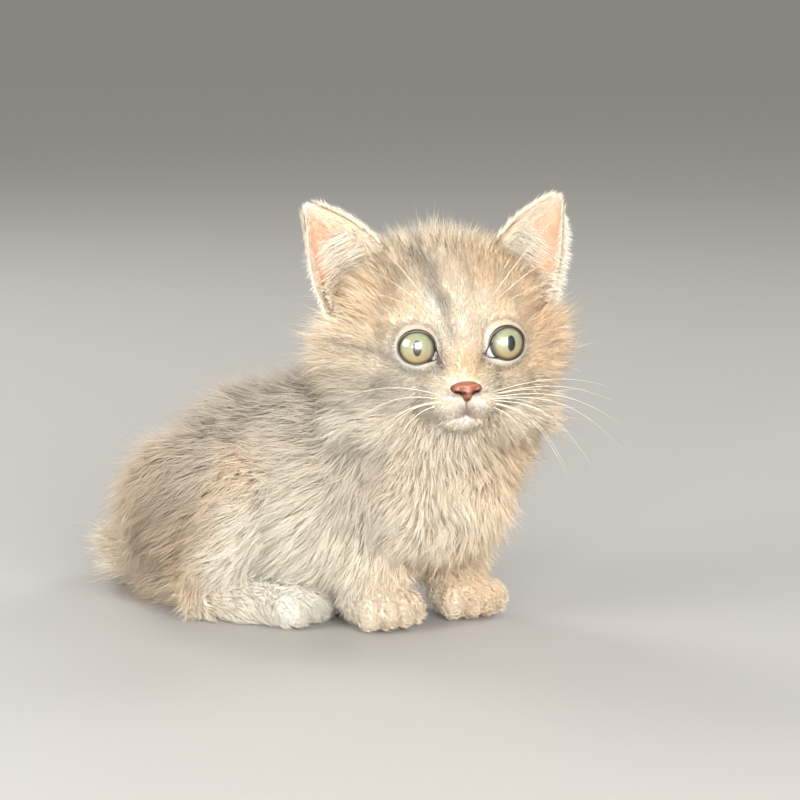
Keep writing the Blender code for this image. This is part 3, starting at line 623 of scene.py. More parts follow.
def leftover(points, marks, strokes):
    """The share that the marks leave, so that marks join softly."""
    left = np.ones(len(points))
    for region, centre, radii, strength in marks:
        local = (turned(region, points) - np.array(centre)) / np.array(radii)
        left *= 1 - strength * np.exp(-0.7 * np.sum(local**2, axis=1))
    for region, axis, corners, width, strength in strokes:
        local = turned(region, points)
        outer = local[:, 0] > 8 if axis == 0 else np.ones(len(points), dtype=bool)
        distance = line_distance(np.delete(local, axis, axis=1), corners)
        left *= 1 - strength * np.exp(-((distance / width) ** 2)) * outer
    return left


def rim_distance(points, side):
    """How far points lie outside the edge of an eye's opening, in mm, seen along its axis."""
    local = turned(eye_frame(side), points)
    angle = np.arctan2(local[:, 2], -side * local[:, 1])
    reach = np.hypot(local[:, 1], local[:, 2])
    distance = reach - opening_reach(angle)
    return np.where(local[:, 0] < 0, 30.0, distance)


def mouth_distance(points):
    """How far points lie from the line of the mouth and its groove, in mm, seen from the front."""
    local = turned(HEAD, points)
    distances = [line_distance(local[:, 1:], line) for line in mouth_line()]
    return np.where(local[:, 0] > 14, np.minimum(*distances), 30.0)


def markings(points):
    """The coat's four colour masks at each point: grey, peach, white and dusky skin. Grey also holds painted
    shade between the forepaws' toes and along the haunch's crease, and dusk holds painted shade in the
    nostrils.
    """
    grey = 1 - leftover(points, GREY_MARKS, GREY_AND_SHADE_STROKES)
    peach = 1 - leftover(points, PEACH_MARKS, PEACH_AND_SHADE_STROKES)
    white = 1 - leftover(points, WHITE_MARKS, WHITE_STROKES)
    dusk_and_shade = 1 - leftover(points, DUSK_AND_NOSTRIL_SHADE_MARKS, DUSK_STROKES)
    for side in (1, -1):
        local = turned(eye_frame(side), points)
        angle = np.arctan2(local[:, 2], -side * local[:, 1])
        wide = 1.25 - 0.6 * np.sin(angle)
        rim = np.maximum(rim_distance(points, side), 0)
        low = np.clip(0.55 - 0.6 * np.sin(angle), 0, 1)
        ring = 0.7 * low * np.exp(-((rim / wide) ** 2))
        white = 1 - (1 - white) * (1 - ring)
        grey = 1 - (1 - grey) * (1 - 0.6 * (1 - low) * np.exp(-((rim / 1.6) ** 2)))
        peach = peach * (1 - ring)
        dusk_and_shade = np.maximum(dusk_and_shade, (0.75 - 0.35 * low) * np.exp(-((rim / 0.45) ** 2)))
    middle = np.exp(-((turned(HEAD, points)[:, 1] / 4.0) ** 2))
    dusk_and_shade = np.maximum(dusk_and_shade, (0.25 + 0.65 * middle) * np.exp(-((mouth_distance(points) / 0.45) ** 2)))
    return np.stack([grey, peach, white, dusk_and_shade], axis=1)


def paint_masks(obj, masks, name="marks"):
    """Keeps four values a vertex as a colour attribute."""
    attribute = obj.data.color_attributes.new(name, "FLOAT_COLOR", "POINT")
    attribute.data.foreach_set("color", masks.astype(np.float32).ravel())


def stacked(length, rise, width, density, lock, pull, swirl):
    """One row a point: length, rise of the tip, root width (mm), hairs a square mm, hairs a lock, how far
    a lock's hairs draw together, and how far the coat's swirls turn it."""
    full = np.ones(len(np.atleast_1d(length)))
    return np.stack([full * value for value in (length, rise, width, density, lock, pull, swirl)], axis=1)


def short_coat_shade(length):
    """How near the coat comes to bare down, from its length in mm: it holds less shade of its own,
    so the materials darken short coat by this share as painted shade.
    """
    return 1 - soft_step(length, 2.4, 8.5)


FACE_MIDDLE = (30, 0, -10)  # in the head's frame, where the coat is shortest
FACE_REACH = 34
EAR_FLUFF = (7, 34, 6)  # before the ears' outer corners
MUZZLE = (34, 0, -17)  # from where the head's hair runs back
CHIN = ((24, 0, -29), (9, 9, 5))


def ear_front(head):
    """How near points in the head's frame lie to the fluff before the ears' outer corners."""
    away = np.stack([head[:, 0], np.abs(head[:, 1]), head[:, 2]], axis=1) - EAR_FLUFF
    return np.exp(-((np.linalg.norm(away, axis=1) / 11) ** 2))


def head_plan(points):
    """The head's coat: shortest on the face, long on cheeks, ruff, crown and before the ears."""
    head = turned(HEAD, points)
    far = np.linalg.norm(head - FACE_MIDDLE, axis=1)
    eyes = np.minimum(*[np.abs(rim_distance(points, side)) for side in (1, -1)])
    low, wide = -head[:, 2], np.abs(head[:, 1])
    cheek = soft_step(wide, 22, 34) * soft_step(low, -16, -4)
    ruff = soft_step(low, 14, 27) * soft_step(far, 24, 38)
    crown = soft_step(far, 32, 46) * soft_step(-low, -4, 10)
    ears = ear_front(head)
    nape = soft_step(-head[:, 0], 6, 22)
    length = 1.8 + 0.15 * np.maximum(far - 8, 0) + 7.5 * cheek + 5 * ruff + 3.5 * crown + 7 * ears + 2 * nape
    length *= 0.55 + 0.45 * soft_step(eyes, 0, 7)
    rise = length * (0.17 + 0.46 * crown + 0.52 * cheek + 0.26 * ruff + 0.4 * ears)
    fine = 1 - soft_step(far, 26, 44)
    chin = np.exp(-(np.linalg.norm((head - CHIN[0]) / CHIN[1], axis=1) ** 2))
    density = 3.3 + 4.2 * fine + 2 * chin + 18 * np.exp(-((eyes / 1.5) ** 2))
    width, lock, pull, swirl = 0.26 - 0.06 * fine, 6 - 3 * fine, 0.35 - 0.15 * fine, 0.3 - 0.2 * fine
    return stacked(length, rise, width, density, lock, pull, swirl)


def torso_plan(points):
    """The trunk's coat: long on back and sides, tousled on the chest, short on the belly."""
    front, z = turned(FRONT, points), points[:, 2] / MM
    chest = soft_step(front[:, 0], -4, 14)
    belly = soft_step(-z, -30, -14) * soft_step(points[:, 0] / MM, -4, 12)
    length = 16.5 - 4.5 * chest - 3.5 * belly
    rise = 11.5 - 2.8 * chest - 4 * belly
    swirl = 0.4 + 1.3 * chest
    return stacked(length, rise, 0.28 - 0.02 * chest, 2.25 + 0.85 * chest - 0.7 * belly, 5, 0.3, swirl)


def foreleg_plan(points):
    """The forelegs' coat: short on the paws."""
    front = turned(FRONT, points)
    upper = soft_step(front[:, 2], 11, 24)
    return stacked(3.6 + 6 * upper, 1.2 + 4 * upper, 0.22 + 0.05 * upper, 4.6 - 1.9 * upper, 4, 0.3, 0.3)


def hindleg_plan(points):
    """The hind legs' coat: long on the thighs, short on the toes."""
    rear = turned(REAR, points)
    thigh = np.maximum(soft_step(rear[:, 2], 13, 32), soft_step(-rear[:, 0], -10, 6))
    toes = soft_step(rear[:, 0], 28, 38) * (1 - thigh)
    length = 10 + 5 * thigh - 4.8 * toes
    rise = 4.8 + 2.7 * thigh - 2.7 * toes
    density = 3.05 - 0.9 * thigh + 1.2 * toes
    return stacked(length, rise, 0.26 + 0.02 * thigh - 0.03 * toes, density, 5, 0.32, 0.35)


def coat_plan(points, gaps):
    """The coat's plan at each point, blended from part to part, and each part's share."""
    shares = np.exp(-np.maximum(gaps - gaps.min(axis=1, keepdims=True), 0) / 3.0)
    shares /= shares.sum(axis=1, keepdims=True)
    foreleg, hindleg = foreleg_plan(points), hindleg_plan(points)
    full = np.ones(len(points))
    neck = stacked(14 * full, 8, 0.28, 2.0, 5, 0.3, 0.6)
    tail = stacked(19 * full, 8, 0.34, 1.65, 8, 0.55, 0.4)
    plans = (head_plan(points), neck, torso_plan(points), foreleg, foreleg, hindleg, hindleg, tail)
    return sum(shares[:, i : i + 1] * plan for i, plan in enumerate(plans)), shares


def directions(matrix, ahead, aside, up):
    """Rows of ways from three shares in a region's frame, as the kitten's. A share may be one number."""
    return np.stack(np.broadcast_arrays(ahead, aside, up), axis=1) @ np.array(matrix.to_3x3()).T


def tail_way(points):
    """Along the tail, towards its tip."""
    local = turned(BODY, points)
    best = np.full(len(points), 1e9)
    way = np.zeros((len(points), 3))
    for start, end in zip(TAIL_STATIONS, TAIL_STATIONS[1:]):
        distance = from_stretch(local, start[:3], end[:3])[0]
        nearer = distance < best
        best = np.where(nearer, distance, best)
        way[nearer] = np.array(end[:3]) - np.array(start[:3])
    return unit(way)


def coat_lie(points, weights):
    """The way the hair lies at each point, before it is laid along the skin."""
    head = turned(HEAD, points)
    back = soft_step(-head[:, 0], -12, 20)
    lie = head - MUZZLE
    lie[:, 2] -= 66 * back
    lie[:, 1] *= 1.15
    lie_head = unit(directions(HEAD, *lie.T))
    for side in (1, -1):
        local = turned(eye_frame(side), points)
        near = np.exp(-((np.maximum(rim_distance(points, side), 0) / 4.0) ** 2))[:, None]
        around = directions(eye_frame(side), 0.0, local[:, 1], local[:, 2])
        lie_head = lie_head * (1 - 0.7 * near) + unit(around) * 0.7 * near
    fluff = ear_front(head)[:, None]
    ahead = directions(HEAD, 0.35, 0.9 * np.sign(head[:, 1]), 0.8)
    lie_head = unit(lie_head * (1 - 0.85 * fluff) + ahead * 0.85 * fluff)
    front = turned(FRONT, points)
    rear = turned(REAR, points)
    chest = soft_step(front[:, 0], -18, 10)[:, None]
    body_out = np.clip(rear[:, 1] / 20, -1, 1)
    falling = 0.3 + 0.6 * soft_step(-rear[:, 2], -52, -26)
    rear_way = directions(REAR, -1.0, 0.6 * body_out, -falling)
    down = np.array((-0.1, 0.04, -1))
    apart = np.clip(front[:, 1] / 22, -1, 1)
    sideways = directions(FRONT, 0.3 * np.abs(apart), 0.7 * apart, 0.0)
    lie_torso = unit(rear_way * (1 - chest) + (down + sideways) * chest)
    paw = soft_step(-front[:, 2], -20, -9)[:, None]
    forward = np.array(FRONT.to_3x3() @ Vector((1, 0, -0.25)))
    lie_foreleg = unit(np.array((0.1, 0, -1)) * (1 - paw) + forward * paw)
    foot = (soft_step(-rear[:, 2], -20, -11) * soft_step(rear[:, 0], 4, 14))[:, None]
    toeward = np.array(REAR.to_3x3() @ Vector((1, 0, -0.25)))
    hind = directions(REAR, -1.0, 1.2 * np.sign(rear[:, 1]), -0.9)
    body = turned(BODY, points)
    outwards = unit((body - np.array((-35, 0, 0))) * np.array((1, 1, 0)))
    root = soft_step(-body[:, 0], 42, 60)[:, None]
    lie_tail = unit(tail_way(points) + (1.6 * outwards - np.array((0, 0, 0.35))) * root)
    lie_hindleg = unit(hind * (1 - foot) + toeward * foot)
    lies = (lie_head, lie_torso, lie_torso, lie_foreleg, lie_foreleg, lie_hindleg, lie_hindleg, lie_tail)
    return unit(sum(weights[:, i : i + 1] * lie for i, lie in enumerate(lies)))


class Surface:
    """A skin's triangles as arrays, to scatter roots on."""

    def __init__(self, obj):
        mesh = obj.data
        mesh.calc_loop_triangles()
        corners = np.empty(3 * len(mesh.loop_triangles), dtype=np.int64)
        mesh.loop_triangles.foreach_get("vertices", corners)
        self.corners = corners.reshape(-1, 3)
        self.points = mesh_points(obj)
        normals = np.empty(3 * len(mesh.vertices))
        mesh.vertices.foreach_get("normal", normals)
        self.normals = normals.reshape(-1, 3)
        a, b, c = (self.points[self.corners[:, k]] for k in range(3))
        self.areas = 0.5 * np.linalg.norm(np.cross(b - a, c - a), axis=1)

    def scatter(self, density, draw):
        """Random points, so many a square millimetre, with their normals. density is per vertex."""
        expected = density[self.corners].mean(axis=1) * self.areas / MM**2
        counts = draw.poisson(expected)
        chosen = np.repeat(np.arange(len(counts)), counts)
        u = np.sort(draw.random((len(chosen), 2)), axis=1)
        shares = np.stack([u[:, 0], u[:, 1] - u[:, 0], 1 - u[:, 1]], axis=1)
        corners = self.corners[chosen]
        points = np.einsum("nk,nkc->nc", shares, self.points[corners])
        normals = unit(np.einsum("nk,nkc->nc", shares, self.normals[corners]))
        return points, normals


def tree_of(obj):
    """A tree that finds the nearest places on a mesh."""
    bm = bmesh.new()
    bm.from_mesh(obj.data)
    tree = BVHTree.FromBMesh(bm)
    bm.free()
    return tree


def unwrap(obj):
    """Unwraps a coarse skin by its own shape, in islands."""
    view = bpy.context.view_layer
    for other in view.objects.selected:
        other.select_set(False)
    view.objects.active = obj
    obj.select_set(True)
    bpy.ops.object.mode_set(mode="EDIT")
    bpy.ops.mesh.select_all(action="SELECT")
    bpy.ops.uv.smart_project(angle_limit=math.radians(66), island_margin=0.004)
    bpy.ops.object.mode_set(mode="OBJECT")
    obj.select_set(False)


def unwrapped_places(obj, tree, roots):
    """Where each root lies on the unwrap of the coarse skin."""
    mesh = obj.data
    layer = mesh.uv_layers.active.data
    places = np.empty((len(roots), 2))
    for row, root in enumerate(roots):
        spot, _, index, _ = tree.find_nearest(Vector(root))
        face = mesh.polygons[index]
        a, b, c = (mesh.vertices[v].co for v in face.vertices[:3])
        first, second, across = b - a, c - a, spot - a
        d00, d01, d11 = first.dot(first), first.dot(second), second.dot(second)
        d20, d21 = across.dot(first), across.dot(second)
        scale = max(d00 * d11 - d01 * d01, 1e-18)
        v = (d11 * d20 - d01 * d21) / scale
        w = (d00 * d21 - d01 * d20) / scale
        ua, ub, uc = (layer[loop].uv for loop in face.loop_indices)
        places[row] = ua * (1 - v - w) + ub * v + uc * w
    return places


HAIR_STATIONS = (0, 0.5, 1)  # where a hair has its rings and its tip, as shares of its length
TAIL_HAIR_STATIONS = (0, 0.34, 0.7, 1)
STIFFNESS = 0.5  # how far a hair keeps straight instead of following the skin
HAIR_PROFILE = ((0, 0.25, 0.6, 1), (0.75, 1.0, 0.72, 0.0))  # its width along it
LOCK_TURN = 0.16  # how far chance turns a lock, in radians
LOCK_LENGTH = (0.82, 1.18)  # against the plan's length and rise
LOCK_RISE = (0.5, 1.2)
HAIR_PULL = (0.5, 1.3)  # how far a hair joins its lock, against the plan, and its length against the lock's
HAIR_LENGTH = (0.72, 1.12)
HAIR_WIDTH = (0.7, 1.15)
HAIR_WANDER = 0.1  # how far a hair's tip strays and its middle kinks, as shares of its length
HAIR_KINK = 0.012
STRAYS = 0.12  # the share of long hairs that stand out from the coat, how far, and how fine they are
STRAY_LIFT = (0.1, 0.38)
STRAY_WIDTH = 0.6
LOCK_MOTTLE = 0.05  # how far chance shifts the colour masks by the lock and by the hair
HAIR_MOTTLE = 0.04
WAVES = ((38, 1.3), (100, 0.9))  # how close together the coat's swirls lie (a metre), and their shares


def comb_locks(tree, roots, normals, lies, lengths, rises, turns, stations):
    """The path of each lock: along the skin and rising from it."""
    paths = np.empty((len(roots), len(stations), 3))
    for row in range(len(roots)):
        root, normal = Vector(roots[row]), Vector(normals[row])
        lie = Vector(lies[row])
        ahead = (lie - normal * lie.dot(normal)).normalized()
        ahead = Matrix.Rotation(turns[row], 3, normal) @ ahead
        length, rise = lengths[row] * MM, min(rises[row], 0.95 * lengths[row]) * MM
        stride = math.sqrt(length * length - rise * rise)
        straight = ahead * stride + normal * rise
        spot, way, before = root, ahead, 0.0
        paths[row, 0] = root - normal * 0.25 * MM
        for number, share in enumerate(stations[1:], 1):
            found, up = tree.find_nearest(spot + way * (share - before) * stride)[:2]
            way = (way - up * way.dot(up)).normalized()
            spot, before = found, share
            along = found + up * rise * share**0.9
            paths[row, number] = along.lerp(root + straight * share, STIFFNESS * share)
    return paths


def spread_hairs(locks, lock_roots, roots, owners, plan, draw, stations):
    """Hairs of each lock start at their own roots and draw together towards its tip."""
    count = len(roots)
    shares = np.array(stations)[None, :, None]
    base = locks[owners]
    from_lock = (roots - lock_roots[owners])[:, None, :]
    pull = plan[:, 5][:, None, None] * draw.uniform(*HAIR_PULL, (count, 1, 1))
    scale = draw.uniform(*HAIR_LENGTH, (count, 1, 1))
    origin = base[:, :1, :]
    paths = origin + (base - origin) * scale + from_lock * (1 - np.clip(pull, 0, 1) * shares**1.3)
    length = plan[:, 0][:, None, None]
    wander = draw.normal(0, 1, (count, 1, 3)) * length * HAIR_WANDER * MM
    paths = paths + wander * shares**1.5
    kink = draw.normal(0, 1, (count, len(stations), 3)) * length * HAIR_KINK * MM
    return paths + kink * (shares > 0)


FLOOR_CLEAR = 0.0004  # from the floor up to the lowest hair, in metres
PATCH = 0.003  # how wide a tuft lies on the unwrap


def weave(name, paths, ups, widths, places, masks, chance, short=0.0, profile=HAIR_PROFILE, flat=0.7):
    """One mesh of closed three-sided tapered tufts from the paths of their middles.

    The attribute "strand" keeps how far along its tuft a vertex is, the tuft's chance value and how short
    the coat is there, which the fur's material turns into painted shade. "marks" keeps the colour masks, and
    OFBake a small patch at the tuft's root.
    """
    count, stations = paths.shape[:2]
    rings = stations - 1
    shares = np.linspace(0, 1, stations)
    profile = np.interp(shares, *profile)
    way = np.empty((count, rings, 3))
    way[:, 0] = paths[:, 1] - paths[:, 0]
    for ring in range(1, rings):
        way[:, ring] = paths[:, ring + 1] - paths[:, ring - 1]
    way /= np.maximum(np.linalg.norm(way, axis=2, keepdims=True), 1e-9)
    sides = np.cross(way, ups[:, None, :])
    sides /= np.maximum(np.linalg.norm(sides, axis=2, keepdims=True), 1e-9)
    uppers = np.cross(sides, way)
    angles = np.radians((90, 210, 330))
    radius = 0.5 * widths[:, None] * profile[None, :rings] * MM
    verts = np.empty((count, 3 * rings + 1, 3), dtype=np.float32)
    for corner, angle in enumerate(angles):
        out = sides * math.cos(angle) + uppers * math.sin(angle) * flat
        verts[:, corner : 3 * rings : 3] = paths[:, :rings] + out * radius[:, :, None]
    verts[:, -1] = paths[:, -1]
    verts[:, :, 2] = np.maximum(verts[:, :, 2], FLOOR_CLEAR)
    tuft_faces, tuft_sizes = [0, 1, 2], [3]
    for ring in range(rings - 1):
        for corner in range(3):
            a, b = 3 * ring + corner, 3 * ring + (corner + 1) % 3
            tuft_faces += [a, a + 3, b + 3, b]
            tuft_sizes.append(4)
    for corner in range(3):
        a, b = 3 * (rings - 1) + corner, 3 * (rings - 1) + (corner + 1) % 3
        tuft_faces += [a, 3 * rings, b]
        tuft_sizes.append(3)
    size = 3 * rings + 1
    loops = (np.array(tuft_faces)[None, :] + size * np.arange(count)[:, None]).ravel()
    sizes = np.tile(tuft_sizes, count)
    starts = np.concatenate([[0], np.cumsum(sizes)[:-1]])
    mesh = bpy.data.meshes.new(name)
    mesh.vertices.add(count * size)
    mesh.vertices.foreach_set("co", verts.ravel())
    mesh.loops.add(len(loops))
    mesh.loops.foreach_set("vertex_index", loops.astype(np.int32))
    mesh.polygons.add(len(sizes))
    mesh.polygons.foreach_set("loop_start", starts.astype(np.int32))
    mesh.update(calc_edges=True)
    mesh.polygons.foreach_set("use_smooth", np.ones(len(sizes), dtype=bool))
    obj = in_scene(name, mesh)
    ring_of = np.append(np.repeat(np.arange(rings), 3), rings)
    corner_of = np.append(np.tile(np.arange(3), rings), 1)
    along = np.broadcast_to(shares[ring_of][None, :], (count, size))
    strand = np.zeros((count, size, 4), dtype=np.float32)
    strand[:, :, 0] = along
    strand[:, :, 1] = chance[:, None]
    # How short the coat is, which the fur's material turns into painted shade.
    strand[:, :, 2] = np.broadcast_to(short, count)[:, None]
    strand[:, :, 3] = 1
    paint_masks(obj, strand.reshape(-1, 4), "strand")
    paint_masks(obj, np.repeat(masks, size, axis=0), "marks")
    layer = mesh.uv_layers.new(name="OFBake")
    patch = np.empty((count, size, 2))
    patch[:, :, 0] = places[:, None, 0] + PATCH * (corner_of / 2 - 0.5)
    patch[:, :, 1] = places[:, None, 1] + PATCH * (along - 0.5)
    patch = np.clip(patch, 0.0005, 0.9995)
    layer.data.foreach_set("uv", patch.reshape(-1, 2)[loops].astype(np.float32).ravel())
    return obj


TRIANGLES_A_PIECE = 185000


BARE_FLOOR = 1.5 * MM
BARE_RIM = 0.25  # round the eyes' openings, in mm
BARE_LIPS = 0.35
BARE_NOSE = ((31, 0, -17), (5, 4.6, 3.0))


def bare_places(points, density):
    """Where no hair is rooted: on the floor, in the eyes and mouth, and under the nose."""
    density[points[:, 2] < BARE_FLOOR] = 0
    for side in (1, -1):
        rim = rim_distance(points, side)
        eye = np.linalg.norm(points - np.array(eye_frame(side).translation), axis=1) / MM
        density[(rim < BARE_RIM) & (eye < 13)] = 0
        density[eye < EYE_RADIUS / MM + 0.3] = 0
    density[mouth_distance(points) < BARE_LIPS] = 0
    nose = np.linalg.norm((turned(HEAD, points) - BARE_NOSE[0]) / BARE_NOSE[1], axis=1)
    density[nose < 1] = 0


def grow_coat(skin, guide, guide_tree):
    """Scatters roots over the skin and grows each part's coat from them."""
    draw = np.random.default_rng(SEED)
    surface = Surface(skin)
    gaps = part_nearness(surface.points)
    density = coat_plan(surface.points, gaps)[0][:, 3].copy()
    bare_places(surface.points, density)
    part_of = gaps.argmin(axis=1)
    pieces = []
    for index, part in enumerate(PARTS):
        roots, normals = surface.scatter(np.where(part_of == index, density, 0), draw)
        stations = TAIL_HAIR_STATIONS if part == "tail" else HAIR_STATIONS
        face = (part == "head") & (np.linalg.norm(turned(HEAD, roots) - FACE_MIDDLE, axis=1) < FACE_REACH)
        for name, chosen in (("face", face), (part, ~face)):
            if chosen.any():
                pieces += grow_part(name, roots[chosen], normals[chosen], stations, guide, guide_tree, draw)
    return pieces


def grow_part(name, roots, normals, stations, guide, guide_tree, draw):
    """Combs a part's locks, spreads their hairs and weaves them into pieces."""
    count = len(roots)
    plan, shares = coat_plan(roots, part_nearness(roots))
    lock_rows = np.flatnonzero(draw.random(count) < 1 / plan[:, 4])
    lies = coat_lie(roots[lock_rows], shares[lock_rows])
    lock_roots, lock_plan = roots[lock_rows], plan[lock_rows]
    turns = draw.normal(0, LOCK_TURN, len(lock_rows))
    for close, reach in WAVES:
        waves = np.array([noise.noise(Vector(root) * close) for root in lock_roots])
        turns += reach * waves * lock_plan[:, 6]
    lengths = lock_plan[:, 0] * draw.uniform(*LOCK_LENGTH, len(lock_rows))
    rises = lock_plan[:, 1] * draw.uniform(*LOCK_RISE, len(lock_rows))
    locks = comb_locks(guide_tree, lock_roots, normals[lock_rows], lies, lengths, rises, turns, stations)
    tree = KDTree(len(lock_rows))
    for number, root in enumerate(lock_roots):
        tree.insert(Vector(root), number)
    tree.balance()
    owners = np.array([tree.find(Vector(root))[1] for root in roots])
    paths = spread_hairs(locks, lock_roots, roots, owners, plan, draw, stations)
    stray = draw.random(count) < STRAYS * np.clip(plan[:, 0] / 10, 0, 1)
    lift = normals[:, None, :] * (plan[:, 0] * draw.uniform(*STRAY_LIFT, count) * stray)[:, None, None] * MM
    paths = paths + lift * np.array(stations)[None, :, None]
    widths = plan[:, 2] * draw.uniform(*HAIR_WIDTH, count) * np.where(stray, STRAY_WIDTH, 1.0)
    masks = markings(roots)
    mottle = draw.normal(0, LOCK_MOTTLE, len(lock_rows))[owners] + draw.normal(0, HAIR_MOTTLE, count)
    masks[:, :3] = np.clip(masks[:, :3] + mottle[:, None] * (masks[:, :3] > 0.02), 0, 1)
    chance = np.clip(draw.random(len(lock_rows))[owners] * 0.5 + draw.random(count) * 0.5, 0, 1)
    places = unwrapped_places(guide, guide_tree, roots)
    # Painted shade for each hair: short coat is darkened as if it shaded itself like long coat.
    short = short_coat_shade(plan[:, 0])
    each = 6 * len(stations) - 8
    step = TRIANGLES_A_PIECE // each
    pieces = []
    for number, start in enumerate(range(0, count, step)):
        rows = slice(start, start + step)
        label = f"coat_{name}_{number + 1}"
        rows_of = (paths, normals, widths, places, masks, chance, short)
        piece = weave(label, *(values[rows] for values in rows_of))
        pieces.append(piece)
    return pieces


# The ears: thin cupped shells, with the corners of the left one in the head's frame.
EAR_INNER_BASE = (-1, 17.5, 26)
EAR_OUTER_BASE = (-2, 36, 5.5)
EAR_INNER_TIP = (-3.5, 39.0, 41.0)
EAR_OUTER_TIP = (-3.5, 42.0, 38.3)
EAR_CUP = 13
EAR_FLATTER = 0.85
EAR_SWELL = (1.6, 2.2)
EAR_ROUND = 1.6
EAR_WALL = 0.6
EAR_EDGE = 0.2
EAR_START = (0.03, -0.14)  # where the shell starts at its inner and at its outer edge
EAR_END = 0.94  # where the fur takes over from the shell at the tip


def ear_points(across, up):
    """Points of the left ear's middle face in mm: across from its inner edge, up from its base, 0 to 1."""
    corners = (EAR_INNER_BASE, EAR_OUTER_BASE, EAR_INNER_TIP, EAR_OUTER_TIP)
    inner, outer, inner_tip, outer_tip = (np.array(corner, dtype=float) for corner in corners)
    a, b = across[:, None], up[:, None]
    points = (inner * (1 - a) + outer * a) * (1 - b) + (inner_tip * (1 - a) + outer_tip * a) * b
    bow = 4 * across * (1 - across)
    points[:, 0] -= EAR_CUP * bow * (1 - EAR_FLATTER * up)
    outwards = (outer - inner) / np.linalg.norm(outer - inner)
    swell = EAR_SWELL[1] * across - EAR_SWELL[0] * (1 - across)
    points += (np.sin(math.pi * np.clip(up, 0, 1)) * swell)[:, None] * outwards
    upwards = (inner_tip - inner) / np.linalg.norm(inner_tip - inner)
    return points + (EAR_ROUND * bow * np.clip(up, 0, 1) ** 4)[:, None] * upwards


def ear_axes(across, up):
    """Unit ways on the ear at each point: out across it, up it, and off its inner face."""
    small = 0.01
    out = unit(ear_points(across + small, up) - ear_points(across - small, up))
    rise = unit(ear_points(across, up + small) - ear_points(across, up - small))
    face = unit(np.cross(out, rise))
    return out, rise, face


def on_head(rows, side, place=True):
    """Rows given for the left side in the head's frame, in mm, as places or as ways of the kitten's."""
    flipped = rows * np.array((1, side, 1))
    matrix = np.array(HEAD)
    if place:
        return flipped * MM @ matrix[:3, :3].T + matrix[:3, 3]
    return flipped @ matrix[:3, :3].T


def make_ear(side, word, material):
    """The shell of an ear: a thin cup with rounded edges."""
    bm = bmesh.new()
    bmesh.ops.create_grid(bm, x_segments=30, y_segments=26, size=0.5)
    across = np.array([vert.co.x + 0.5 for vert in bm.verts])
    starts = EAR_START[0] * (1 - across) + EAR_START[1] * across
    up = starts + np.array([vert.co.y + 0.5 for vert in bm.verts]) * (EAR_END - starts)
    spots = on_head(ear_points(across, up), side)
    for vert, spot in zip(bm.verts, spots):
        vert.co = spot
    layer = bm.verts.layers.float_color.new("ear")
    for vert, a, u in zip(bm.verts, across, up):
        vert[layer] = (a, min(max(u, 0), 1), 0, 1)
    ear = object_of("ear_shell_" + word, bm)
    wall = ear.modifiers.new("wall", "SOLIDIFY")
    wall.thickness = EAR_WALL * MM
    wall.offset = 0.0
    round_edge = ear.modifiers.new("round_edge", "BEVEL")
    round_edge.width = EAR_EDGE * MM
    round_edge.segments = 2
    round_edge.limit_method = "ANGLE"
    apply_modifiers(ear)
    attribute = ear.data.color_attributes["ear"]
    rows = np.empty(4 * len(ear.data.vertices), dtype=np.float32)
    attribute.data.foreach_get("color", rows)
    rows = rows.reshape(-1, 4)
    across, up = rows[:, 0].astype(float), rows[:, 1].astype(float)
    off = on_head(ear_axes(across, up)[2], side, place=False)
    from_middle = mesh_points(ear) - on_head(ear_points(across, up), side)
    rows[:, 2] = np.sum(from_middle * off, axis=1) < 0
    attribute.data.foreach_set("color", rows.ravel())
    dressed(ear, material)
    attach(ear, "root")
    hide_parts("ear_" + word)


# The ears' hair in groups: (count, across, up, length, the way it starts and ends as shares of up, out and
# off the inner face, width, which face it stands on, masks of grey, peach, white and dusk).
EAR_HAIR = (
    (1000, (0, 0.3), (-0.05, 0.93), (2.6, 4.2), (0.8, 0.05, 0.5), (1, 0.1, 0.1), 0.23, 1, (0, 0.3, 0.3, 0)),
    (420, (0.3, 0.7), (0.2, 0.93), (2, 3.6), (0.8, 0.1, 0.4), (1, 0.2, 0.1), 0.16, 1, (0, 0.3, 0.4, 0)),
    (420, (0.9, 1), (0, 0.94), (1.8, 3.2), (0.6, 0.5, 0.5), (0.7, 0.9, 0), 0.2, 1, (0, 0.15, 0.5, 0)),
    (560, (0.985, 1), (-0.05, 0.93), (2.5, 7), (0.25, 1, 0.2), (0.1, 1, -0.2), 0.17, 0, (0.1, 0.05, 0.5, 0)),
    (520, (0, 0.02), (0.05, 0.94), (2.5, 6.5), (0.5, -0.8, 0.15), (0.9, -0.5, 0), 0.17, 0,
     (0.15, 0.1, 0.3, 0)),
    (220, (0, 0.14), (-0.05, 0.4), (5, 9), (0.6, -0.3, 0.8), (0.8, -0.5, 0), 0.2, 1, (0.15, 0.2, 0.2, 0)),
    (260, (0.72, 1), (-0.14, 0.26), (7, 13), (0.5, 0.5, 0.8), (0.3, 1, -0.1), 0.2, 1, (0.05, 0.15, 0.5, 0)),
    (150, (0, 1), (0.91, 0.94), (2, 4.2), (1, 0, 0.1), (1, 0.1, 0), 0.2, 0, (0.1, 0, 0.5, 0)),
    (1700, (0.05, 0.95), (-0.1, 0.9), (3.6, 5.4), (0.8, 0, 0.5), (1, 0, 0.1), 0.32, -1, (0.35, 0.1, 0.1, 0)),
)
EAR_JITTER = 0.13
EAR_TUFT = (
    (360, (0.02, 0.55), (-0.14, 0.5), (10, 18), (0.35, 0.5, 0.8), (0.2, 1, -0.1), 0.18, 1, (0, 0.1, 0.8, 0)),
)


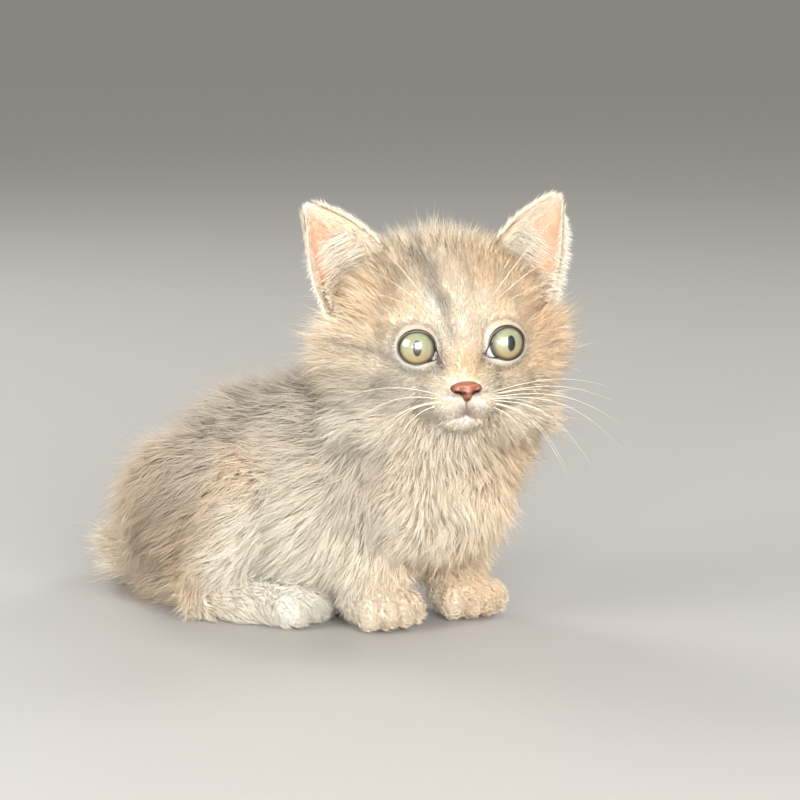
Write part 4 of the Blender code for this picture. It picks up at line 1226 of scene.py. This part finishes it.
def ear_coat(side, word, label, groups, stations, draw):
    """Hair of one ear, group by group, unwrapped by across and up."""
    kept = {key: [] for key in ("paths", "ups", "widths", "places", "masks", "chance")}
    shares = np.linspace(0, 1, stations)[None, :, None]
    for count, across, up, lengths, start, end, width, face, masks in groups:
        a, u = draw.uniform(*across, count), draw.uniform(*up, count)
        out, rise, off = ear_axes(a, u)
        off = off * (face if face else 1)
        roots = ear_points(a, u) + off * (0.5 * EAR_WALL - 0.1) * abs(face)
        jitter = draw.normal(0, EAR_JITTER, (2, count, 3))
        ways = []
        for turn, (w_up, w_out, w_off) in zip(jitter, (start, end)):
            ways.append(unit(rise * w_up + out * w_out + off * w_off + turn))
        length = draw.uniform(*lengths, count)[:, None, None]
        first, last = ways[0][:, None, :], ways[1][:, None, :]
        paths = roots[:, None, :] + length * (first * (shares - shares**2 / 2) + last * shares**2 / 2)
        kept["paths"].append(on_head(paths, side))
        kept["ups"].append(on_head(off, side, place=False))
        kept["widths"].append(width * draw.uniform(0.75, 1.2, count))
        half = 0.0 if face >= 0 else 0.5
        kept["places"].append(np.stack([0.02 + 0.45 * a + half, 0.05 + 0.9 * (u + 0.2) / 1.2], axis=1))
        kept["masks"].append(np.tile(np.array(masks, dtype=float), (count, 1)))
        kept["chance"].append(draw.uniform(0.3, 1, count))
    rows = {key: np.concatenate(value) for key, value in kept.items()}
    return weave(f"coat_{label}_{word}", **rows)


# Whiskers of the left side in the head's frame: the root's (y, z), how far the tip lies from it in
# (x, y, z), and how far the middle hangs back of the straight line. The right side's hang a little lower.
WHISKERS = (
    (8.6, -18.2, (-25, 52, -4), 5),
    (9.4, -18.8, (-25, 54, -10), 6),
    (8.0, -19.6, (-24, 52, -17), 8),
    (9.6, -20.0, (-22, 50, -24), 9),
    (8.6, -20.8, (-19, 41, -31), 10),
    (7.4, -21.4, (-16, 33, -34), 9),
    (9.2, -21.6, (-13, 27, -27), 8),
    (7.8, -22.6, (-12, 20, -25), 6),
    (6.6, -20.2, (-14, 34, -14), 5),
    (10.4, -19.2, (-20, 36, -7), 4),
    (10.2, -21.0, (-18, 32, -20), 6),
)
BROW_WHISKERS = (
    (9.0, 9.0, (-14, 36, 34), 3),
    (11.0, 9.0, (-14, 34, 17), 3),
    (12.0, 7.5, (-16, 33, 7), 3),
    (30.0, -8.0, (-14, 17, 3), 2),
    (31.0, -12.0, (-14, 18, -6), 2),
)
OTHER_SIDE = (0.8, 0.7, 0.85)  # the right whiskers' reach against the left ones'
WHISKER_PROFILE = ((0, 0.1, 0.5, 1), (0.9, 1.0, 0.62, 0.0))
WHISKER_STATIONS = 12
WHISKER_WIDTH = 0.25
BROW_WHISKER_WIDTH = 0.18
WHISKER_LENGTH = (0.88, 1.04)  # what chance makes of it
WHISKER_BOW = 0.8


def make_whiskers(skin_tree, guide, guide_tree, draw):
    """Long bowed whiskers on the pads, and finer ones on the brows and cheeks."""
    shares = np.linspace(0, 1, WHISKER_STATIONS)
    paths, widths = [], []
    ahead = HEAD.to_3x3() @ Vector((1, 0, 0))
    for side in (1, -1):
        pads = WHISKERS if side > 0 else WHISKERS[::2]
        for thick, rows in ((WHISKER_WIDTH, pads), (BROW_WHISKER_WIDTH, BROW_WHISKERS)):
            for y, z, tip, hang in rows:
                start = HEAD @ (Vector((60, y * side, z)) * MM)
                root = skin_tree.ray_cast(start, -ahead)[0]
                reach = Vector(tip) * draw.uniform(*WHISKER_LENGTH)
                if side < 0:
                    reach = Vector([value * share for value, share in zip(reach, OTHER_SIDE)])
                line = Vector((reach.x, reach.y * side, reach.z))
                bow = Vector((0, 0, hang)) + Vector((hang, 0, 0)) * WHISKER_BOW
                path = []
                for share in shares:
                    offset = line * share + bow * math.sin(math.pi * share) * WHISKER_BOW
                    path.append(root - ahead * 0.3 * MM + HEAD.to_3x3() @ (offset * MM))
                paths.append([tuple(spot) for spot in path])
                widths.append(thick)
    paths = np.array(paths)
    count = len(paths)
    masks = np.tile((0.0, 0.0, 0.9, 0.0), (count, 1))
    places = unwrapped_places(guide, guide_tree, paths[:, 0])
    ups = np.tile(np.array(ahead), (count, 1))
    chance = draw.uniform(0.5, 1, count)
    return weave("whiskers", paths, ups, np.array(widths), places, masks, chance, 0.0, WHISKER_PROFILE, 1.0)


# The nose leather in the head's frame.
NOSE_CENTRE = (32.2, 0, -16.8)
NOSE_LUMPS = (
    ((-2.8, 0, 0.9), (4.5, 4.2, 1.6)),
    ((-2.2, 0, -0.6), (4.1, 2.9, 2.2)),
    ((-2.5, 0, -2.1), (4.0, 1.6, 1.9)),
    ((-3.2, 3.2, 0.0), (3.7, 2.0, 1.7)),
    ((-3.2, -3.2, 0.0), (3.7, 2.0, 1.7)),
)
NOSE_VOXEL = 0.28 * MM
NOSE_ROUNDS = 3
NOSTRIL = ((0.6, 2.75, -1.0), (1.9, 1.7, 0.5), (26, 0, 25))


def make_nose(material):
    """The nose leather: wide above and narrow below, with a comma of a nostril on each side."""
    bm = bmesh.new()
    centre = Vector(NOSE_CENTRE)
    for place, radii in NOSE_LUMPS:
        add_lump(bm, HEAD, centre + Vector(place), radii, (0, 0, 0), 0)
    nose = melt(object_of("nose_leather", bm), NOSE_VOXEL, NOSE_ROUNDS)
    place, radii, lean = NOSTRIL
    for side in (1, -1):
        bm = bmesh.new()
        spot = centre + Vector(sided(place, side))
        add_lump(bm, HEAD, spot, radii, (lean[0] * side, lean[1], lean[2] * side), 0)
        cut(nose, "DIFFERENCE", object_of("nostril", bm))
    local = turned(HEAD, mesh_points(nose)) - np.array(NOSE_CENTRE)
    # Painted shade: near black in and round the nostrils, kept in the red channel of "leather".
    nostril_shade = np.zeros(len(local))
    for side in (1, -1):
        gap = (local - np.array(sided(place, side))) / (np.array(radii) * 1.12)
        nostril_shade = np.maximum(nostril_shade, np.exp(-2.5 * np.maximum(np.linalg.norm(gap, axis=1) - 1, 0)))
    under = np.maximum(soft_step(-local[:, 2], 1.2, 3.4), soft_step(np.abs(local[:, 1]), 3.2, 5.2))
    masks = np.stack([nostril_shade, under, nostril_shade * 0, nostril_shade * 0 + 1], axis=1)
    paint_masks(nose, masks, "leather")
    dressed(nose, material)
    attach(nose, "root")
    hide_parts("nose")


# Colours and materials.
def linear(hex_colour):
    """A hex sRGB colour as linear RGBA."""
    parts = [int(hex_colour[i : i + 2], 16) / 255 for i in (1, 3, 5)]
    return (*[c / 12.92 if c <= 0.04045 else ((c + 0.055) / 1.055) ** 2.4 for c in parts], 1)


def add(tree, kind, feeds=None, **settings):
    """Adds a shader node with its settings. Feeds are values, outputs or nodes, for their first output."""
    made = tree.nodes.new("ShaderNode" + kind)
    for key, value in settings.items():
        setattr(made, key, value)
    for socket, source in (feeds or {}).items():
        if isinstance(source, bpy.types.Node):
            source = source.outputs[0]
        if isinstance(source, bpy.types.NodeSocket):
            tree.links.new(source, made.inputs[socket])
        else:
            made.inputs[socket].default_value = source
    return made


def blank_material(name):
    """A material with an empty node tree."""
    material = bpy.data.materials.new(name)
    material.use_nodes = True
    tree = material.node_tree
    tree.nodes.clear()
    return material, tree


def finish_surface(tree, shader):
    """Makes the shader the material's surface."""
    add(tree, "OutputMaterial", {"Surface": shader})


def finish_thin_surface(tree, shader, colour, share):
    """The same for something thin that lets a share of the light through."""
    through = add(tree, "BsdfTranslucent", {"Color": colour})
    finish_surface(tree, add(tree, "MixShader", {0: share, 1: shader, 2: through}))


FUR_COLOURS = (
    ("cream", "#EAD9BD", "#FFF5E2"),
    ("grey", "#7C7269", "#C0B5A8"),
    ("peach", "#E7BC8A", "#FEE3B8"),
    ("white", "#F1EEE3", "#FBF9F0"),
    ("dusk_and_shade", "#6E4A4C", "#A98280"),
)


def fur_colour(tree, along):
    """The coat's colour: cream, with the masks' grey, peach, white and dusky parts laid over it; some grey
    and dusky parts are painted shade.
    """
    marks = add(tree, "Attribute", attribute_name="marks")
    split = add(tree, "SeparateColor", {"Color": marks})
    shares = (None, *split.outputs, marks.outputs["Alpha"])
    colour = None
    for (_, root, tip), share in zip(FUR_COLOURS, shares):
        hair = add(tree, "MixRGB", {"Fac": along, "Color1": linear(root), "Color2": linear(tip)})
        over = {"Fac": share, "Color1": colour, "Color2": hair}
        colour = hair if colour is None else add(tree, "MixRGB", over)
    return colour


def fur_material():
    """Kitten underfur and guard hair: soft, silky, a little see-through, paler towards the tips, with
    painted shade on short coat.
    """
    material, tree = blank_material("soft_kitten_fur")
    strand = add(tree, "Attribute", attribute_name="strand")
    split = add(tree, "SeparateColor", {"Color": strand})
    ramp = add(tree, "MapRange", {"Value": split.outputs["Red"], "From Min": 0.05, "From Max": 0.75})
    colour = fur_colour(tree, ramp)
    shade = add(tree, "MapRange", {"Value": split.outputs["Green"], "To Min": 0.88, "To Max": 1.06})
    # Painted shade: short coat is darkened by up to a tenth, for the shade that long coat casts in itself.
    down = add(tree, "MapRange", {"Value": split.outputs["Blue"], "To Min": 1.0, "To Max": 0.9})
    shade = add(tree, "Math", {0: shade, 1: down}, operation="MULTIPLY")
    toned = add(tree, "HueSaturation", {"Value": shade, "Color": colour})
    shader = add(tree, "BsdfPrincipled", {"Base Color": toned, "Roughness": 0.5})
    shader.inputs["Specular IOR Level"].default_value = 0.35
    finish_thin_surface(tree, shader, toned, 0.45)
    return material


def skin_material():
    """Skin under the coat: it carries the coat's markings, with short down drawn as fine bump, and painted
    shade where the coat over it is short.
    """
    material, tree = blank_material("downy_skin")
    colour = fur_colour(tree, 0.25)
    place = add(tree, "TexCoord").outputs["Object"]
    down = add(tree, "TexNoise", {"Vector": place, "Scale": 900.0, "Detail": 4.0})
    shade = add(tree, "MapRange", {"Value": down, "To Min": 0.75, "To Max": 1.1})
    # Painted shade: the skin is darkened by up to nearly half where the coat over it is short.
    bare = add(tree, "Attribute", attribute_name="short")
    bare = add(tree, "MapRange", {"Value": bare.outputs["Fac"], "To Min": 1.0, "To Max": 0.54})
    shade = add(tree, "Math", {0: shade, 1: bare}, operation="MULTIPLY")
    toned = add(tree, "HueSaturation", {"Value": shade, "Color": colour})
    bump = add(tree, "Bump", {"Height": down, "Strength": 0.4, "Distance": 0.0003})
    shader = add(tree, "BsdfPrincipled", {"Base Color": toned, "Roughness": 0.75, "Normal": bump})
    finish_surface(tree, shader)
    return material


# The camera stands where the photo's did: a long lens, a little above the kitten.
CAMERA_AZIMUTH = 30
CAMERA_ELEVATION = 9
CAMERA_DISTANCE = 1.2
FILM_WIDTH = 36
MM_A_PIXEL = 0.33
PICTURE_PIXELS = 800
TARGET_RIGHT = 26.0
TARGET_UP = 69.9
LIGHTS_TARGET = Vector((0, 0, 0.06))


def way_to(azimuth, elevation):
    """The way from the kitten to an azimuth and elevation, in degrees."""
    a, e = math.radians(azimuth), math.radians(elevation)
    return Vector((math.sin(a) * math.cos(e), -math.cos(a) * math.cos(e), math.sin(e)))


def aimed(name, data, target, away, distance):
    """A camera or light that stands away from a target and looks at it."""
    made = in_scene(name, data)
    made.location = target + away * distance
    made.rotation_euler = (-away).to_track_quat("-Z", "Y").to_euler()
    return made


def set_camera():
    """The camera, framed as the photo."""
    back = way_to(CAMERA_AZIMUTH, CAMERA_ELEVATION)
    azimuth = math.radians(CAMERA_AZIMUTH)
    right = Vector((math.cos(azimuth), math.sin(azimuth), 0))
    target = SHIFT.translation + (right * TARGET_RIGHT + back.cross(right) * TARGET_UP) * MM
    data = bpy.data.cameras.new("camera")
    data.sensor_width = FILM_WIDTH
    data.lens = FILM_WIDTH * CAMERA_DISTANCE / (PICTURE_PIXELS * MM_A_PIXEL * MM)
    data.clip_start = 0.01
    bpy.context.scene.camera = aimed("camera", data, target, back, CAMERA_DISTANCE)


def softbox(name, azimuth, elevation, distance, size, watts):
    """A square light that looks at the kitten."""
    data = bpy.data.lights.new(name, "AREA")
    data.size = size
    data.energy = watts
    aimed(name, data, LIGHTS_TARGET, way_to(azimuth, elevation), distance)


def set_lights():
    """Plain soft studio light."""
    softbox("key", 46, 15, 1.3, 0.8, 35)
    softbox("fill", -22, 24, 1.4, 0.8, 17)
    softbox("front", 18, 10, 1.2, 0.1, 6)
    softbox("rim_left", -110, 35, 1.2, 0.5, 8)
    softbox("rim_right", 150, 40, 1.2, 0.5, 6)
    world = bpy.data.worlds.new("studio")
    bpy.context.scene.world = world
    world.use_nodes = True
    world.node_tree.nodes["Background"].inputs["Color"].default_value = linear("#D9D7D3")
    world.node_tree.nodes["Background"].inputs["Strength"].default_value = 0.8
    bpy.context.scene.view_settings.view_transform = "Standard"


def make_floor():
    """A plain pale floor."""
    bm = bmesh.new()
    bmesh.ops.create_grid(bm, x_segments=2, y_segments=2, size=6)
    floor = object_of("floor", bm)
    material, tree = blank_material("plain_pale_floor")
    shader = add(tree, "BsdfPrincipled", {"Base Color": linear("#989591"), "Roughness": 0.55})
    finish_surface(tree, shader)
    floor.data.materials.append(material)


def nose_material():
    """Nose leather: finely pebbled, brick pink and a little moist, with painted shade dark in and round the
    nostrils.
    """
    material, tree = blank_material("pebbled_nose_leather")
    leather = add(tree, "Attribute", attribute_name="leather")
    split = add(tree, "SeparateColor", {"Color": leather})
    place = add(tree, "TexCoord").outputs["Object"]
    # Pebbles of the leather, about 0.35 mm across, drawn as small cells.
    pebbles = add(tree, "TexVoronoi", {"Vector": place, "Scale": 2600.0})
    colour = add(tree, "MixRGB", {"Fac": 0.25, "Color1": linear("#87543D"), "Color2": linear("#693829")})
    feeds = {"Fac": split.outputs["Green"], "Color1": colour, "Color2": linear("#4F2820")}
    colour = add(tree, "MixRGB", feeds)
    # Painted shade: near black in and round the nostrils.
    feeds = {"Fac": split.outputs["Red"], "Color1": colour, "Color2": linear("#2B1110")}
    colour = add(tree, "MixRGB", feeds)
    bump = add(tree, "Bump", {"Height": pebbles, "Strength": 0.35, "Distance": 0.0001})
    shader = add(tree, "BsdfPrincipled", {"Base Color": colour, "Roughness": 0.42, "Normal": bump})
    finish_surface(tree, shader)
    return material


def ear_material():
    """Ear skin: thin, warm pink and a little see-through where it is bare, cream down along its edges."""
    material, tree = blank_material("thin_ear_skin")
    ear = add(tree, "Attribute", attribute_name="ear")
    split = add(tree, "SeparateColor", {"Color": ear})
    inner = add(tree, "MapRange", {"Value": split.outputs["Red"], "From Min": 0.15, "From Max": 0.38})
    outer = add(tree, "MapRange", {"Value": split.outputs["Red"], "From Min": 0.98, "From Max": 0.88})
    high = add(tree, "MapRange", {"Value": split.outputs["Green"], "From Min": 1.0, "From Max": 0.72})
    bare = add(tree, "Math", {0: inner, 1: outer}, operation="MULTIPLY")
    bare = add(tree, "Math", {0: bare, 1: high}, operation="MULTIPLY")
    front = add(tree, "MapRange", {"Value": split.outputs["Blue"], "To Min": 1.0, "To Max": 0.1})
    bare = add(tree, "Math", {0: bare, 1: front}, operation="MULTIPLY")
    place = add(tree, "TexCoord").outputs["Object"]
    clouds = add(tree, "TexNoise", {"Vector": place, "Scale": 220.0, "Detail": 4.0})
    skin = add(tree, "MixRGB", {"Fac": clouds, "Color1": linear("#BD8468"), "Color2": linear("#E1B294")})
    colour = add(tree, "MixRGB", {"Fac": bare, "Color1": linear("#DCC3A4"), "Color2": skin})
    shader = add(tree, "BsdfPrincipled", {"Base Color": colour, "Roughness": 0.6})
    finish_thin_surface(tree, shader, colour, 0.3)
    return material


def rim_material():
    """Lid edge: bare, dark brown and wet."""
    material, tree = blank_material("wet_lid_edge")
    shader = add(tree, "BsdfPrincipled", {"Base Color": linear("#33231F"), "Roughness": 0.28})
    finish_surface(tree, shader)
    return material


def whisker_material():
    """Whisker: stiff, glassy and cream white."""
    material, tree = blank_material("glassy_whisker")
    shader = add(tree, "BsdfPrincipled", {"Base Color": linear("#F7EFDD"), "Roughness": 0.3})
    finish_thin_surface(tree, shader, linear("#F7EFDD"), 0.2)
    return material


# The eyes: an eyeball each, with its iris, slit pupil and wet shine.
GAZE = {1: (5.0, 1.0), -1: (0.0, 0.0)}


def eye_material():
    """Wet eye: grey-green iris with amber patches and fine fibres, a dark oval pupil, under clear gloss."""
    material, tree = blank_material("wet_kitten_eye")
    gaze = add(tree, "Attribute", attribute_name="gaze")
    place = add(tree, "SeparateXYZ", {"Vector": gaze.outputs["Vector"]})
    across, up = place.outputs["X"], place.outputs["Y"]
    flat = add(tree, "CombineXYZ", {"X": across, "Y": up})
    reach = add(tree, "VectorMath", {0: flat}, operation="LENGTH").outputs["Value"]
    angle = add(tree, "Math", {0: up, 1: across}, operation="ARCTAN2")
    round_x = add(tree, "Math", {0: angle}, operation="COSINE")
    round_y = add(tree, "Math", {0: angle}, operation="SINE")
    slow = add(tree, "Math", {0: reach, 1: 0.09}, operation="MULTIPLY")
    ring = add(tree, "CombineXYZ", {"X": round_x, "Y": round_y, "Z": slow})
    fibres = add(tree, "TexNoise", {"Vector": ring, "Scale": 16.0, "Detail": 5.0, "Roughness": 0.7})
    clouds = add(tree, "TexNoise", {"Vector": gaze.outputs["Vector"], "Scale": 0.42, "Detail": 3.0})
    iris = add(tree, "MixRGB", {"Fac": fibres, "Color1": linear("#383B2C"), "Color2": linear("#9C9E7C")})
    low = add(tree, "MapRange", {"Value": up, "From Min": 1.0, "From Max": -6.5})
    warm = add(tree, "Math", {0: low, 1: clouds}, operation="MULTIPLY")
    warm = add(tree, "Math", {0: warm, 1: 1.35}, operation="MULTIPLY", use_clamp=True)
    iris = add(tree, "MixRGB", {"Fac": warm, "Color1": iris, "Color2": linear("#8C6732")})
    smooth = {"interpolation_type": "SMOOTHSTEP"}
    edge = add(tree, "MapRange", {"Value": reach, "From Min": 4.0, "From Max": 5.8}, **smooth)
    iris = add(tree, "MixRGB", {"Fac": edge, "Color1": iris, "Color2": linear("#2A2822")})
    white = add(tree, "MapRange", {"Value": reach, "From Min": 5.9, "From Max": 6.3}, **smooth)
    iris = add(tree, "MixRGB", {"Fac": white, "Color1": iris, "Color2": linear("#B9C6D6")})
    oval = add(tree, "VectorMath", {0: flat, 1: (1 / 1.35, 1 / 2.45, 0)}, operation="MULTIPLY")
    pupil = add(tree, "VectorMath", {0: oval}, operation="LENGTH").outputs["Value"]
    hole = add(tree, "MapRange", {"Value": pupil, "From Min": 1.12, "From Max": 0.92}, **smooth)
    iris = add(tree, "MixRGB", {"Fac": hole, "Color1": iris, "Color2": linear("#0B0D12")})
    shader = add(tree, "BsdfPrincipled", {"Base Color": iris, "Roughness": 0.3})
    shader.inputs["Coat Weight"].default_value = 1.0
    shader.inputs["Coat Roughness"].default_value = 0.02
    finish_surface(tree, shader)
    return material


def make_eye(side, word, material):
    """An eyeball with the low bulge of its cornea, painted by its own gaze."""
    yaw, pitch = GAZE[side]
    bm = bmesh.new()
    matrix = Matrix.Rotation(math.radians(90), 4, "Y")
    bmesh.ops.create_uvsphere(bm, u_segments=72, v_segments=48, radius=EYE_RADIUS, matrix=matrix)
    look = Matrix.Rotation(math.radians(yaw * side), 4, "Z") @ Matrix.Rotation(-math.radians(pitch), 4, "Y")
    region = eye_frame(side)
    for vert in bm.verts:
        ahead = vert.co.normalized().x
        vert.co *= 1 + CORNEA_BULGE * max(0.0, (ahead - CORNEA_START) / CORNEA_RANGE) ** 1.5
    gaze = [(vert.co.y / MM, vert.co.z / MM, vert.co.x / MM) for vert in bm.verts]
    for vert in bm.verts:
        vert.co = region @ look @ vert.co
    eye = object_of("eyeball_" + word, bm)
    attribute = eye.data.attributes.new("gaze", "FLOAT_VECTOR", "POINT")
    attribute.data.foreach_set("vector", np.array(gaze, dtype=np.float32).ravel())
    dressed(eye, material)
    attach(eye, "root")
    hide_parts("eye_" + word)


def main():
    """Sets the stage, then makes the skin, the coat and the head's separate pieces."""
    set_camera()
    set_lights()
    make_floor()
    skin = make_skin()
    guide = thinned(skin, "guide", GUIDE_TRIANGLES)
    guide_tree = tree_of(guide)
    unwrap(guide)
    refine_face(skin)
    press_mouth(skin)
    for side in (1, -1):
        open_eye(skin, side)
    points = mesh_points(skin)
    paint_masks(skin, markings(points))
    # How short the coat is over the skin, which the skin's material turns into painted shade.
    short = skin.data.attributes.new("short", "FLOAT", "POINT")
    length = coat_plan(points, part_nearness(points))[0][:, 0]
    short.data.foreach_set("value", short_coat_shade(length).astype(np.float32))
    dressed(skin, skin_material())
    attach(skin, "root")
    tails = ("tail_root", "tail_tip")
    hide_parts(*(part for part in PARTS if part != "tail"), *tails)
    make_nose(nose_material())
    eye_finish, rim_finish, ear_finish = eye_material(), rim_material(), ear_material()
    fur = fur_material()
    draw = np.random.default_rng(SEED + 1)
    pieces = grow_coat(skin, guide, guide_tree)
    for side, word in ((1, "left"), (-1, "right")):
        make_eye(side, word, eye_finish)
        make_lid_rim(side, word, rim_finish)
        make_ear(side, word, ear_finish)
        pieces.append(ear_coat(side, word, "ear", EAR_HAIR, 3, draw))
        pieces.append(ear_coat(side, word, "ear_tuft", EAR_TUFT, 6, draw))
    for piece in pieces:
        piece.data.materials.append(fur)
    whiskers = make_whiskers(tree_of(skin), guide, guide_tree, draw)
    whiskers.data.materials.append(whisker_material())
    for piece in (*pieces, whiskers):
        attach(piece, "root")
    bpy.data.objects.remove(guide)


main()
